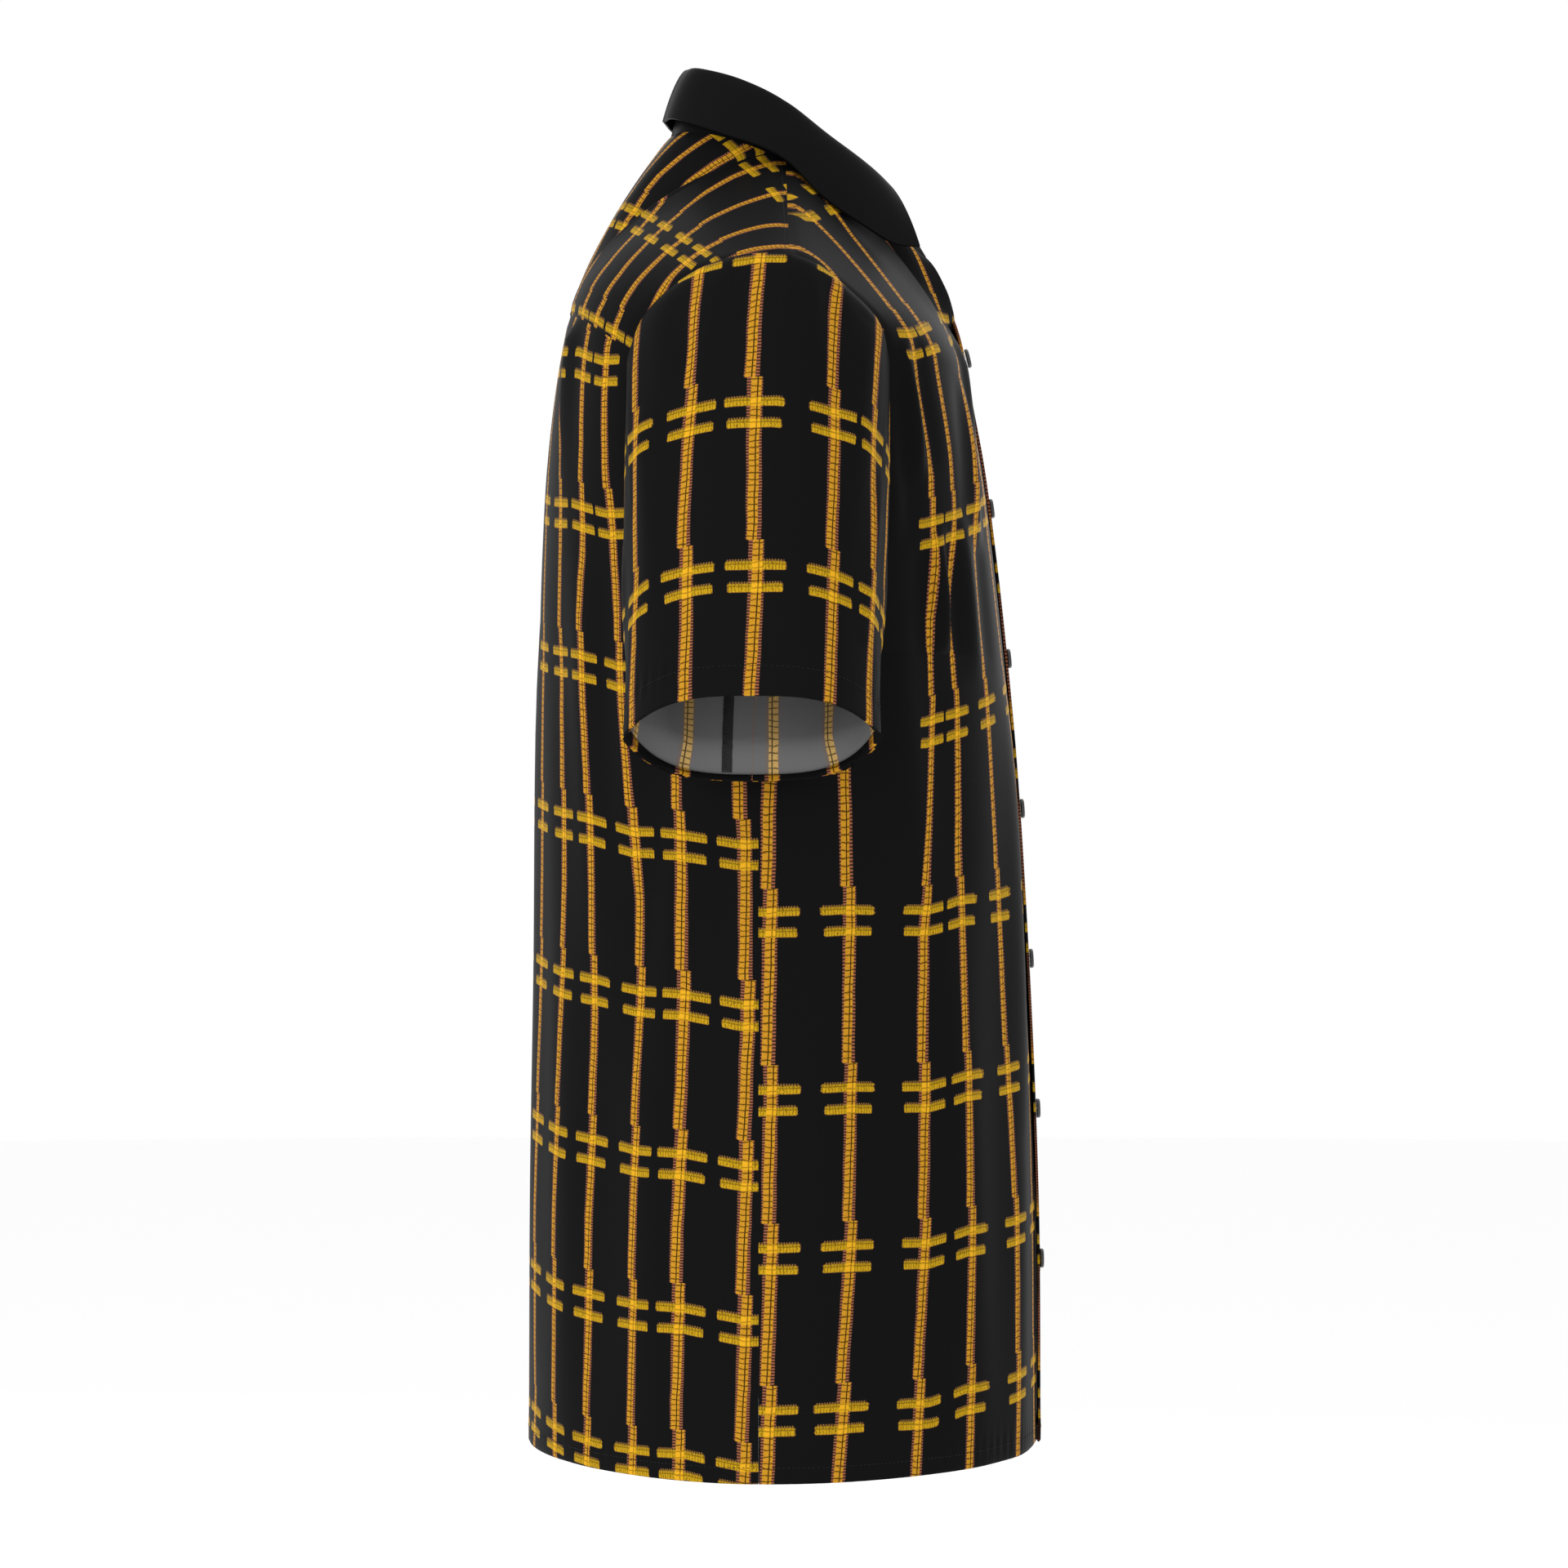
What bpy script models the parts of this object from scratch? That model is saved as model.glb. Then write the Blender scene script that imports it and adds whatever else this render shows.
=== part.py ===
# A short-sleeved button-up shirt in its worn shape with no wearer: thin cloth walls round a hollow.
# Metres, Z up. X runs across the wearer with the wearer's left at +X, and the front faces -Y.
# The origin lies midway between the two points where the shoulder seams meet the collar.
# Tables give one side of the shirt, x being the distance out from the centre line.

from math import pi, radians

import bmesh
import bpy
import numpy as np
from mathutils import Matrix, Vector

# Cloth
CLOTH = 0.0012
COLLAR_CLOTH = 0.0016
SEAM_GAP = 0.0003
SLEEVE_CLEARANCE = 0.0006
STAND_CLEARANCE = 0.0009
LEAF_CLEARANCE = 0.0006
HEM_FOLD = 0.010
SLEEVE_HEM_FOLD = 0.018
FOLD_STEP = 0.0006
FOLD_THICKNESS = 0.0005

# Body
BODY_HEM = -0.740
UNDERARM = -0.285
SIDE_SEAM_Y = 0.014
BUTTON_STAND = 0.015
FRONT_LIFT = 0.0022
LIFT_FULL = 0.020
LIFT_NONE = 0.050
OPEN_LIFT = 0.0016
OPEN_LIFT_FROM = -0.125
OPEN_LIFT_FULL = -0.105

# height, depth of the centre front, depth of the centre back, half width, roundness in front and behind
SECTIONS = (
    (-0.740, -0.1482, 0.1500, 0.2095, 1.95, 1.75),
    (-0.600, -0.1472, 0.1498, 0.2110, 1.95, 1.75),
    (-0.450, -0.1412, 0.1468, 0.2130, 2.00, 1.80),
    (-0.350, -0.1348, 0.1452, 0.2150, 2.10, 1.95),
    (-0.285, -0.1288, 0.1432, 0.2160, 2.20, 2.15),
    (-0.225, -0.1222, 0.1412, 0.2190, 2.30, 2.35),
    (-0.172, -0.1152, 0.1380, 0.2265, 2.40, 2.50),
    (-0.118, -0.1054, 0.1312, 0.2310, 2.40, 2.60),
    (-0.085, -0.1010, 0.1250, 0.2330, 2.40, 2.60),
)

# Armhole seen from the side, from the underarm up to the chest: depth, height
ARMHOLE_FRONT = (
    (0.0140, -0.2850),
    (-0.0125, -0.2805),
    (-0.0365, -0.2630),
    (-0.0510, -0.2270),
    (-0.0565, -0.1740),
    (-0.0575, -0.1180),
)
ARMHOLE_BACK = (
    (0.0140, -0.2850),
    (0.0400, -0.2805),
    (0.0640, -0.2635),
    (0.0790, -0.2265),
    (0.0850, -0.1720),
    (0.0855, -0.1174),
)
# Armhole from the chest over to the shoulder point: x, y, z
ARMHOLE_FRONT_TOP = (
    (0.2125, -0.0535, -0.1040),
    (0.2245, -0.0325, -0.0825),
    (0.2315, -0.0175, -0.0715),
    (0.2350, -0.0030, -0.0660),
)
ARMHOLE_BACK_TOP = (
    (0.2090, 0.0795, -0.1020),
    (0.2175, 0.0620, -0.0835),
    (0.2265, 0.0379, -0.0705),
    (0.2320, 0.0180, -0.0665),
    (0.2350, -0.0030, -0.0660),
)
YOKE_RISE = 0.0318

# Neck seam from the centre back round to the front edge, and the shoulder seam from it outwards: x, y, z
NECK_BACK = (
    (0.0000, 0.0660, 0.0260),
    (0.0400, 0.0565, 0.0235),
    (0.0640, 0.0310, 0.0160),
    (0.0725, -0.0010, 0.0030),
)
NECK_FRONT = (
    (0.0725, -0.0010, 0.0030),
    (0.0715, -0.0300, -0.0130),
    (0.0600, -0.0590, -0.0320),
    (0.0300, -0.0815, -0.0470),
)
SHOULDER = (
    (0.0725, -0.0010, 0.0030),
    (0.1500, -0.0020, -0.0310),
    (0.2350, -0.0030, -0.0660),
)
# Edge of a front above the chest, where the top is worn open: x, y, z
OPEN_EDGE = (
    (-0.0150, -0.1054, -0.1180),
    (-0.0140, -0.1012, -0.0980),
    (-0.0060, -0.0988, -0.0880),
    (0.0050, -0.0960, -0.0780),
    (0.0160, -0.0922, -0.0660),
    (0.0250, -0.0872, -0.0550),
    (0.0300, -0.0815, -0.0470),
)
NECK_SHARE = 0.37
NECK_TURN = 0.75
ROLL_REACH = 3.0
ARMHOLE_REACH = 6

# Which way the cloth runs as it meets the neck seam, and as it goes over the shoulder seam
FRONT_TO_NECK = (-0.40, 0.40, 0.75)
FRONT_OVER_SHOULDER = (0, 1, 0.1)
YOKE_TO_NECK = (0, -0.62, 0.79)
YOKE_OVER_SHOULDER = (0, -1, -0.1)
# How far it keeps to these directions: on leaving the row below, at the neck and at the shoulder
FRONT_PULLS = (0.65, 0.70, 0.30)
YOKE_PULLS = (1.0, 1.0, 0.5)
PULL_TURN = (0.2, 0.5)
YOKE_LEAD = 0.010

# Collar: top of the stand from the centre back to the front end, and the lower edge of the leaf: x, y, z
STAND_TOP = (
    (0.0000, 0.0580, 0.0570),
    (0.0340, 0.0490, 0.0535),
    (0.0540, 0.0250, 0.0450),
    (0.0635, -0.0010, 0.0310),
    (0.0635, -0.0260, 0.0130),
    (0.0550, -0.0505, -0.0050),
    (0.0315, -0.0660, -0.0215),
)
LEAF_EDGE = (
    (0.0000, 0.0715, 0.0335),
    (0.0420, 0.0640, 0.0300),
    (0.0760, 0.0380, 0.0185),
    (0.0945, 0.0000, 0.0015),
    (0.1020, -0.0240, -0.0225),
    (0.1000, -0.0475, -0.0385),
    (0.0920, -0.0635, -0.0470),
    (0.0800, -0.0780, -0.0475),
)
STAND_TUCK = 0.972
LEAF_END = 0.90
ROLL_HEIGHT = 0.0115
ROLL_WIDTH = 0.0085
LEAF_SWELL = 0.006
LEAF_SWELL_FROM = 0.3

# Sleeve
SLEEVE_HEM_MIDDLE = (0.2925, 0.0170, -0.3300)
SLEEVE_HEM_HALF_ACROSS = 0.052
SLEEVE_HEM_HALF_DEPTH = 0.068
SLEEVE_SLOPE = radians(66)
SHOULDER_SLOPE = radians(31)
SLEEVE_FLARE = 0.3
SLEEVE_PULL = 0.6
HEM_FLATNESS = 3.0
HEM_POINT = 0.8

# Pleats under the yoke, one on each side of the back
PLEAT_X = 0.127
PLEAT_DEPTH = 0.0045
PLEAT_STEEP = 0.006
PLEAT_SOFT = 0.026
PLEAT_LENGTH = 0.120
PLEAT_START = 0.014

# The folds die away towards a panel's side edge
EDGE_CALM = 10
NARROWEST_PANEL = 0.1
# Largest soft folds, as ridges on the cloth: share across the panel, top, bottom, half width, height
FRONT_FOLDS = (
    (0.80, -0.150, -0.420, 0.016, 0.0050),
    (0.42, -0.130, -0.330, 0.014, 0.0030),
    (0.55, -0.330, -0.730, 0.022, 0.0030),
)
BACK_FOLDS = (
    (0.86, -0.150, -0.460, 0.016, 0.0055),
    (0.55, -0.300, -0.730, 0.024, 0.0035),
)

# Buttons
BUTTON_RADIUS = 0.00575
BUTTON_THICKNESS = 0.0023
BUTTON_DISH = 0.0006
BUTTON_RIM = 0.0013
BUTTON_ROUNDING = 0.0006
BUTTON_HOLE = 0.0009
BUTTON_HOLE_OFFSET = 0.0015
FIRST_BUTTON = -0.106
BUTTON_SPACING = 0.088
FRONT_BUTTONS = 7
COLLAR_BUTTON_SHARE = 0.955

# Mesh density
BODY_ROWS = (-0.700, -0.640, -0.580, -0.520, -0.460, -0.400, -0.350, -0.315)
ARMHOLE_ROWS = 8
TOP_ROWS = 8
FRONT_NECK_COLUMNS = 9
FRONT_SHOULDER_COLUMNS = 10
BACK_COLUMNS = (0, 0.1, 0.2, 0.3, 0.4, 0.48, 0.54, 0.575, 0.60, 0.63, 0.67, 0.73, 0.79, 0.86, 0.93, 1)
SLEEVE_ROWS = (0, 0.06, 0.15, 0.27, 0.4, 0.53, 0.66, 0.78, 0.88)
COLLAR_COLUMNS = 21
STAND_ROWS = (0, 0.33, 0.67, 1)
LEAF_ROWS = 10
LEAF_EASE = 1.15
ROW_POINTS = 121
BUTTON_SIDES = 20
HOLE_SIDES = 8

BLACK_CLOTH = (0.012, 0.012, 0.012, 1)
BUTTON_BLACK = (0.02, 0.02, 0.02, 1)
CLOTH_ROUGHNESS = 0.5
BUTTON_ROUGHNESS = 0.3


def clear_scene():
    for obj in list(bpy.data.objects):
        bpy.data.objects.remove(obj)


def material(name, colour, roughness):
    made = bpy.data.materials.new(name)
    made.use_nodes = True
    shader = made.node_tree.nodes["Principled BSDF"]
    shader.inputs["Base Color"].default_value = colour
    shader.inputs["Roughness"].default_value = roughness
    shader.inputs["Metallic"].default_value = 0
    return made


def unit(vectors):
    return vectors / np.linalg.norm(vectors, axis=-1, keepdims=True)


def smooth_step(low, high, value):
    share = np.clip((value - low) / (high - low), 0, 1)
    return share * share * (3 - 2 * share)


# A smooth run through the rows of a table, read at the given places.
def smooth(knots, values, at):
    knots = np.asarray(knots, float)
    values = np.asarray(values, float)
    at = np.asarray(at, float)
    slopes = np.gradient(values, knots, axis=0)
    index = np.clip(np.searchsorted(knots, at, side="right") - 1, 0, len(knots) - 2)
    step = knots[index + 1] - knots[index]
    t = (at - knots[index]) / step
    if values.ndim > 1:
        step = step[..., None]
        t = t[..., None]
    start = values[index] * (1 + 2 * t) * (1 - t) ** 2
    end = values[index + 1] * t * t * (3 - 2 * t)
    leave = slopes[index] * step * t * (1 - t) ** 2
    arrive = slopes[index + 1] * step * t * t * (t - 1)
    return start + end + leave + arrive


# How far along a line each of its points lies, as a share of its length.
def shares_of(line):
    steps = np.linalg.norm(np.diff(line, axis=0), axis=1)
    return np.concatenate([[0], np.cumsum(steps)]) / steps.sum()


# Points on a smooth curve through the given ones, at shares of its length.
def curve(points, shares):
    points = np.asarray(points, float)
    dense = smooth(shares_of(points), points, np.linspace(0, 1, ROW_POINTS))
    return evenly(dense, shares)


def evenly(line, shares):
    along = shares_of(line)
    return np.stack([np.interp(shares, along, line[:, k]) for k in range(line.shape[1])], axis=1)


def body_size(column, height):
    heights = [row[0] for row in SECTIONS]
    return smooth(heights, [row[column] for row in SECTIONS], height)


# One row of a panel, from the centre line round to its side edge. The middle may rise above the edge.
def body_row(is_front, edge_y, edge_height, rise, shares):
    column, round_column = (1, 4) if is_front else (2, 5)
    t = np.linspace(0, 1, ROW_POINTS)
    height = edge_height + rise * (1 - t**2)
    depth = body_size(column, height) - SIDE_SEAM_Y
    half = body_size(3, height)
    roundness = body_size(round_column, height)
    reach = np.clip((edge_y - SIDE_SEAM_Y) / depth[-1], 0, 1)
    last = np.arccos(reach ** (roundness[-1] / 2))
    overlap = BUTTON_STAND if is_front else 0
    first = np.arcsin((overlap / half[0]) ** (roundness[0] / 2))
    angle = -first + (last + first) * t
    across = np.sign(np.sin(angle)) * np.abs(np.sin(angle)) ** (2 / roundness)
    along = np.abs(np.cos(angle)) ** (2 / roundness)
    line = np.stack([half * across, SIDE_SEAM_Y + depth * along, height], axis=1)
    return evenly(line, shares)


# Columns of cloth from a row up to a top edge, leaving and arriving in given directions.
def rising_columns(row, leaving, top, arriving, leave_pull, arrive_pull, steps):
    chord = np.linalg.norm(top - row, axis=1, keepdims=True)
    start = unit(leaving) * chord * leave_pull
    end = unit(arriving) * chord * arrive_pull
    rows = []
    for t in steps:
        at_start = row * (1 + 2 * t) * (1 - t) ** 2 + start * t * (1 - t) ** 2
        at_end = top * t * t * (3 - 2 * t) + end * t * t * (t - 1)
        rows.append(at_start + at_end)
    return np.array(rows)


def grid_normals(grid, closed=False):
    if closed:
        across = np.roll(grid, -1, axis=1) - np.roll(grid, 1, axis=1)
    else:
        across = np.gradient(grid, axis=1, edge_order=2)
    up = np.gradient(grid, axis=0, edge_order=2)
    return unit(np.cross(across, up))


def pull_in(grid, edges):
    grid = grid.copy()
    if "bottom" in edges:
        grid[0] += unit(grid[1] - grid[0]) * SEAM_GAP / 2
    if "top" in edges:
        grid[-1] += unit(grid[-2] - grid[-1]) * SEAM_GAP / 2
    if "left" in edges:
        grid[:, 0] += unit(grid[:, 1] - grid[:, 0]) * SEAM_GAP / 2
    if "right" in edges:
        grid[:, -1] += unit(grid[:, -2] - grid[:, -1]) * SEAM_GAP / 2
    return grid


# A closed wall between two grids of points, the first one outside.
def wall(name, outer, inner, cloth, closed=False):
    rows, columns = outer.shape[:2]
    mesh = bpy.data.meshes.new(name)
    points = np.concatenate([outer.reshape(-1, 3), inner.reshape(-1, 3)])
    offset = rows * columns
    last = columns if closed else columns - 1
    faces = []
    for i in range(rows - 1):
        for j in range(last):
            k = (j + 1) % columns
            a, b = i * columns + j, i * columns + k
            c, d = (i + 1) * columns + k, (i + 1) * columns + j
            faces.append((a, b, c, d))
            faces.append((d + offset, c + offset, b + offset, a + offset))
    for i in (0, rows - 1):
        for j in range(last):
            a, b = i * columns + j, i * columns + (j + 1) % columns
            rim = (b, a, a + offset, b + offset)
            faces.append(rim if i == 0 else rim[::-1])
    for j in () if closed else (0, columns - 1):
        for i in range(rows - 1):
            a, b = i * columns + j, (i + 1) * columns + j
            rim = (a, b, b + offset, a + offset)
            faces.append(rim if j == 0 else rim[::-1])
    mesh.from_pydata([tuple(point) for point in points], [], faces)
    shape = bmesh.new()
    shape.from_mesh(mesh)
    bmesh.ops.recalc_face_normals(shape, faces=shape.faces)
    shape.to_mesh(mesh)
    shape.free()
    mesh.materials.append(cloth)
    mesh.polygons.foreach_set("use_smooth", [True] * len(mesh.polygons))
    obj = bpy.data.objects.new(name, mesh)
    bpy.context.scene.collection.objects.link(obj)
    return obj


# The points of one side seen on the wearer's left (+1) or right (-1).
def to_side(grid, side):
    return grid * np.array([side, 1, 1])


def fold_ridges(grid, normals, shares, folds):
    lifted = grid.copy()
    height = grid[:, :, 2]
    for share, top, bottom, half_width, rise in folds:
        width = np.abs(grid[:, -1, 0] - grid[:, 0, 0])[:, None]
        away = (shares[None, :] - share) * np.maximum(width, NARROWEST_PANEL)
        across = np.exp(-((away / half_width) ** 2))
        middle, reach = (top + bottom) / 2, (top - bottom) / 2
        along = np.clip(1 - ((height - middle) / reach) ** 2, 0, 1)
        inside = 1 - shares[None, :] ** EDGE_CALM
        lifted += normals * (rise * across * along * inside)[:, :, None]
    return lifted


def armhole_rows(table, count):
    return curve(table, np.linspace(0, 1, count + 1))


def body_rows(is_front, shares, hem_rows):
    rows = []
    for height in hem_rows:
        rows.append(body_row(is_front, SIDE_SEAM_Y, height, 0, shares))
    table = ARMHOLE_FRONT if is_front else ARMHOLE_BACK
    for step, (edge_y, edge_height) in enumerate(armhole_rows(table, ARMHOLE_ROWS)):
        rise = 0 if is_front else YOKE_RISE * (step / ARMHOLE_ROWS) ** 2
        rows.append(body_row(is_front, edge_y, edge_height, rise, shares))
    return np.array(rows)


def hem_and_body_rows():
    fold = BODY_HEM + HEM_FOLD
    return (BODY_HEM, fold, fold + FOLD_STEP) + BODY_ROWS


# Thickness of each row: more where the hem is turned up.
def hem_thickness(rows):
    thickness = np.full(rows, CLOTH)
    thickness[:2] += FOLD_THICKNESS
    return thickness


def front_shares():
    neck = np.linspace(0, NECK_SHARE, FRONT_NECK_COLUMNS)
    return np.concatenate([neck, np.linspace(NECK_SHARE, 1, FRONT_SHOULDER_COLUMNS)[1:]])


def top_edge(neck, shares):
    near = shares <= NECK_SHARE
    neck_part = curve(neck, shares[near] / NECK_SHARE)
    shoulder_part = curve(SHOULDER, (shares[~near] - NECK_SHARE) / (1 - NECK_SHARE))
    return np.concatenate([neck_part, shoulder_part])


# How the cloth runs into the neck seam near the neck, and over the shoulder seam further out.
def arriving(shares, at_neck, at_shoulder):
    share = smooth_step(NECK_SHARE * NECK_TURN, NECK_SHARE, shares)[:, None]
    return np.array(at_neck) * (1 - share) + np.array(at_shoulder) * share


def pulls(table, shares):
    leave, at_neck, at_shoulder = table
    share = smooth_step(*PULL_TURN, shares)[:, None]
    return leave, at_neck * (1 - share) + at_shoulder * share


# Moves the ends of the columns onto the edge curves, less and less towards the middle.
def fit_edges(block, shares, steps, left, right):
    if left is not None:
        away = curve(left, steps) - block[:, 0]
        block = block + away[:, None] * ((1 - shares) ** ROLL_REACH)[None, :, None]
    away = curve(right, steps) - block[:, -1]
    return block + away[:, None] * (shares**ARMHOLE_REACH)[None, :, None]


def armhole_top(table, start):
    return np.concatenate([[start], np.array(table)])


def front_grid(shares):
    rows = body_rows(True, shares, hem_and_body_rows())
    steps = np.linspace(0, 1, TOP_ROWS + 1)[1:]
    top = top_edge(NECK_FRONT[::-1], shares)
    run = arriving(shares, FRONT_TO_NECK, FRONT_OVER_SHOULDER)
    leave, pull = pulls(FRONT_PULLS, shares)
    block = rising_columns(rows[-1], rows[-1] - rows[-2], top, run, leave, pull, steps)
    block = fit_edges(block, shares, steps, OPEN_EDGE, armhole_top(ARMHOLE_FRONT_TOP, rows[-1, -1]))
    grid = np.concatenate([rows, block])
    grid = fold_ridges(grid, grid_normals(grid), shares, FRONT_FOLDS)
    return grid, seam_normals(grid, grid_normals(grid), run, shares)


# The fronts and the yoke face the same way along the shoulder seam that they share.
def seam_normals(grid, normals, run, shares):
    out = shares >= NECK_SHARE
    shared = unit(np.cross(np.gradient(grid[-1], axis=0), run))
    normals[-1, out] = shared[out]
    return normals


def yoke_half(shares):
    seam = body_row(False, *ARMHOLE_BACK[-1], YOKE_RISE, shares)
    edge_y, edge_height = ARMHOLE_BACK[-1]
    below = body_row(False, edge_y, edge_height - YOKE_LEAD, YOKE_RISE, shares)
    steps = np.linspace(0, 1, TOP_ROWS + 1)
    top = top_edge(NECK_BACK, shares)
    run = arriving(shares, YOKE_TO_NECK, YOKE_OVER_SHOULDER)
    leave, pull = pulls(YOKE_PULLS, shares)
    block = rising_columns(seam, seam - below, top, run, leave, pull, steps)
    half = fit_edges(block, shares, steps, None, armhole_top(ARMHOLE_BACK_TOP, seam[-1]))
    return half, -seam_normals(half, grid_normals(half), run, shares)


# Both halves of a panel that is cut in one, from the wearer's right to the left.
def both_sides(half):
    return np.concatenate([to_side(half, -1)[:, :0:-1], half], axis=1)


def pleats(grid, normals):
    away = np.abs(grid[:, :, 0]) - PLEAT_X
    steep = smooth_step(-PLEAT_STEEP, 0, away)
    soft = 1 - smooth_step(0, PLEAT_SOFT, away)
    down = grid[-1, :, 2][None, :] - grid[:, :, 2]
    along = smooth_step(0, PLEAT_START, down) * (1 - smooth_step(PLEAT_START, PLEAT_LENGTH, down))
    return grid + normals * (PLEAT_DEPTH * np.minimum(steep, soft) * along)[:, :, None]


def lift_over(grid, normals):
    more = OPEN_LIFT * smooth_step(OPEN_LIFT_FROM, OPEN_LIFT_FULL, grid[:, :, 2])
    lift = (FRONT_LIFT + more) * (1 - smooth_step(LIFT_FULL, LIFT_NONE, grid[:, :, 0]))
    return grid + normals * lift[:, :, None]


def make_front(side, cloth):
    shares = front_shares()
    grid, normals = front_grid(shares)
    if side > 0:
        grid = lift_over(grid, normals)
    grid = pull_in(grid, ("top", "right"))
    inner = grid - normals * hem_thickness(len(grid))[:, None, None]
    name = "front_left" if side > 0 else "front_right"
    wall(name, to_side(grid, side), to_side(inner, side), cloth)
    return grid, normals


def make_back(cloth):
    shares = np.array(BACK_COLUMNS, float)
    half = body_rows(False, shares, hem_and_body_rows())
    half = fold_ridges(half, -grid_normals(half), shares, BACK_FOLDS)
    grid = both_sides(half)
    grid = pleats(grid, -grid_normals(grid))
    normals = -grid_normals(grid)
    grid = pull_in(grid, ("top", "left", "right"))
    inner = grid - normals * hem_thickness(len(grid))[:, None, None]
    wall("back_panel", grid, inner, cloth)


def make_yoke(cloth):
    half, half_normals = yoke_half(front_shares())
    grid = both_sides(half)
    normals = both_sides(half_normals)
    grid = pull_in(grid, ("bottom", "top", "left", "right"))
    wall("yoke", grid, grid - normals * CLOTH, cloth)


# The armhole as one closed ring: shoulder point, front, underarm, back.
# With it, the way that the body's cloth faces.
def armhole_ring():
    shares = front_shares()
    front, front_out = front_grid(shares)
    yoke, yoke_out = yoke_half(shares)
    back = body_rows(False, shares, hem_and_body_rows())
    back_out = -grid_normals(back)
    underarm = len(hem_and_body_rows())
    down = front[underarm:, -1][::-1]
    up = np.concatenate([back[underarm:, -1], yoke[1:, -1]])
    down_out = front_out[underarm:, -1][::-1]
    up_out = np.concatenate([back_out[underarm:, -1], yoke_out[1:, -1]])
    ring = np.concatenate([down[:-1], up[:-1]])
    facing = np.concatenate([down_out[:-1], up_out[:-1]])
    angles = np.concatenate([shares_of(down)[:-1], 1 + shares_of(up)[:-1]]) * pi
    return ring, facing, angles


# The hem as a flattened ring with a crease at the front and back.
def sleeve_hem_ring(angle):
    depth = -np.sin(angle) * SLEEVE_HEM_HALF_DEPTH
    swell = np.clip(1 - np.abs(np.sin(angle)) ** HEM_FLATNESS, 0, 1) ** HEM_POINT
    out = np.sign(np.cos(angle)) * swell * SLEEVE_HEM_HALF_ACROSS
    outward = np.array([np.sin(SLEEVE_SLOPE), 0, np.cos(SLEEVE_SLOPE)])
    ring = np.array(SLEEVE_HEM_MIDDLE) + out[:, None] * outward
    ring[:, 1] += depth
    return ring


def sleeve_grid():
    ring, facing, angles = armhole_ring()
    hem = sleeve_hem_ring(angles)
    axis = np.array([np.cos(SLEEVE_SLOPE), 0, -np.sin(SLEEVE_SLOPE)])
    over = np.array([np.cos(SHOULDER_SLOPE), 0, -np.sin(SHOULDER_SLOPE)])
    share = smooth_step(UNDERARM, SHOULDER[-1][2], ring[:, 2])[:, None]
    leaving = unit(axis * (1 - share) + over * share + facing * SLEEVE_FLARE * (1 - share))
    start = ring + leaving * SEAM_GAP + facing * (SLEEVE_CLEARANCE - SEAM_GAP * share)
    length = np.linalg.norm(hem - start, axis=1).max()
    fold = 1 - SLEEVE_HEM_FOLD / length
    steps = SLEEVE_ROWS + (fold - FOLD_STEP / length, fold, 1)
    arrive = np.repeat(axis[None], len(ring), axis=0)
    return rising_columns(start, leaving, hem, arrive, SLEEVE_PULL, SLEEVE_PULL, steps)


def make_sleeve(side, cloth):
    grid = sleeve_grid()
    normals = grid_normals(grid, closed=True)
    thickness = np.full(len(grid), CLOTH)
    thickness[-2:] += FOLD_THICKNESS
    inner = grid - normals * thickness[:, None, None]
    name = "sleeve_left" if side > 0 else "sleeve_right"
    wall(name, to_side(grid, side), to_side(inner, side), cloth, closed=True)


def neck_seam(shares):
    steps = np.linspace(0, 1, ROW_POINTS)
    line = np.concatenate([curve(NECK_BACK, steps), curve(NECK_FRONT, steps)[1:]])
    return evenly(line, shares)


def stand_half(shares):
    low = neck_seam(shares)
    top = curve(STAND_TOP, shares)
    run = unit(top - low)
    low = (low + run * STAND_CLEARANCE) * np.array([STAND_TUCK, 1, 1])
    return np.array([low * (1 - t) + top * t for t in STAND_ROWS])


def make_stand(cloth):
    shares = np.linspace(0, 1, COLLAR_COLUMNS)
    grid = both_sides(stand_half(shares))
    normals = -grid_normals(grid)
    inner = grid - normals * COLLAR_CLOTH
    wall("collar_stand", grid, inner, cloth)
    return grid, normals


def leaf_half(shares):
    stand = stand_half(shares * LEAF_END)
    top = stand[-1]
    run = unit(stand[-1] - stand[-2])
    out = -grid_normals(both_sides(stand))[-1, len(shares) - 1:]
    start = top - out * COLLAR_CLOTH + run * LEAF_CLEARANCE
    edge = curve(LEAF_EDGE, shares)
    flat_out = unit(out * np.array([1, 1, 0]))
    rise = start + run * ROLL_HEIGHT
    turn = rise + flat_out * ROLL_WIDTH
    swell = flat_out * LEAF_SWELL * smooth_step(LEAF_SWELL_FROM, 1, shares)[:, None]
    rows = []
    for t in leaf_steps():
        a, b = (1 - t) ** 3, 3 * t * (1 - t) ** 2
        c, d = 3 * t * t * (1 - t), t**3
        rows.append(a * start + b * rise + c * (turn + swell) + d * edge)
    return np.array(rows)


def leaf_steps():
    return np.linspace(0, 1, LEAF_ROWS + 1) ** LEAF_EASE


def make_leaf(cloth):
    shares = np.linspace(0, 1, COLLAR_COLUMNS)
    grid = both_sides(leaf_half(shares))
    normals = grid_normals(grid)
    wall("collar_fall", grid, grid - normals * COLLAR_CLOTH, cloth)


def button_profile():
    half = BUTTON_THICKNESS / 2
    edge = BUTTON_RADIUS
    round_off = BUTTON_ROUNDING
    return (
        (0, -half),
        (edge - round_off, -half),
        (edge, -half + round_off),
        (edge, half - round_off),
        (edge - round_off, half),
        (edge - BUTTON_RIM, half),
        (edge - BUTTON_RIM - BUTTON_DISH, half - BUTTON_DISH),
        (0, half - BUTTON_DISH),
    )


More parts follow.
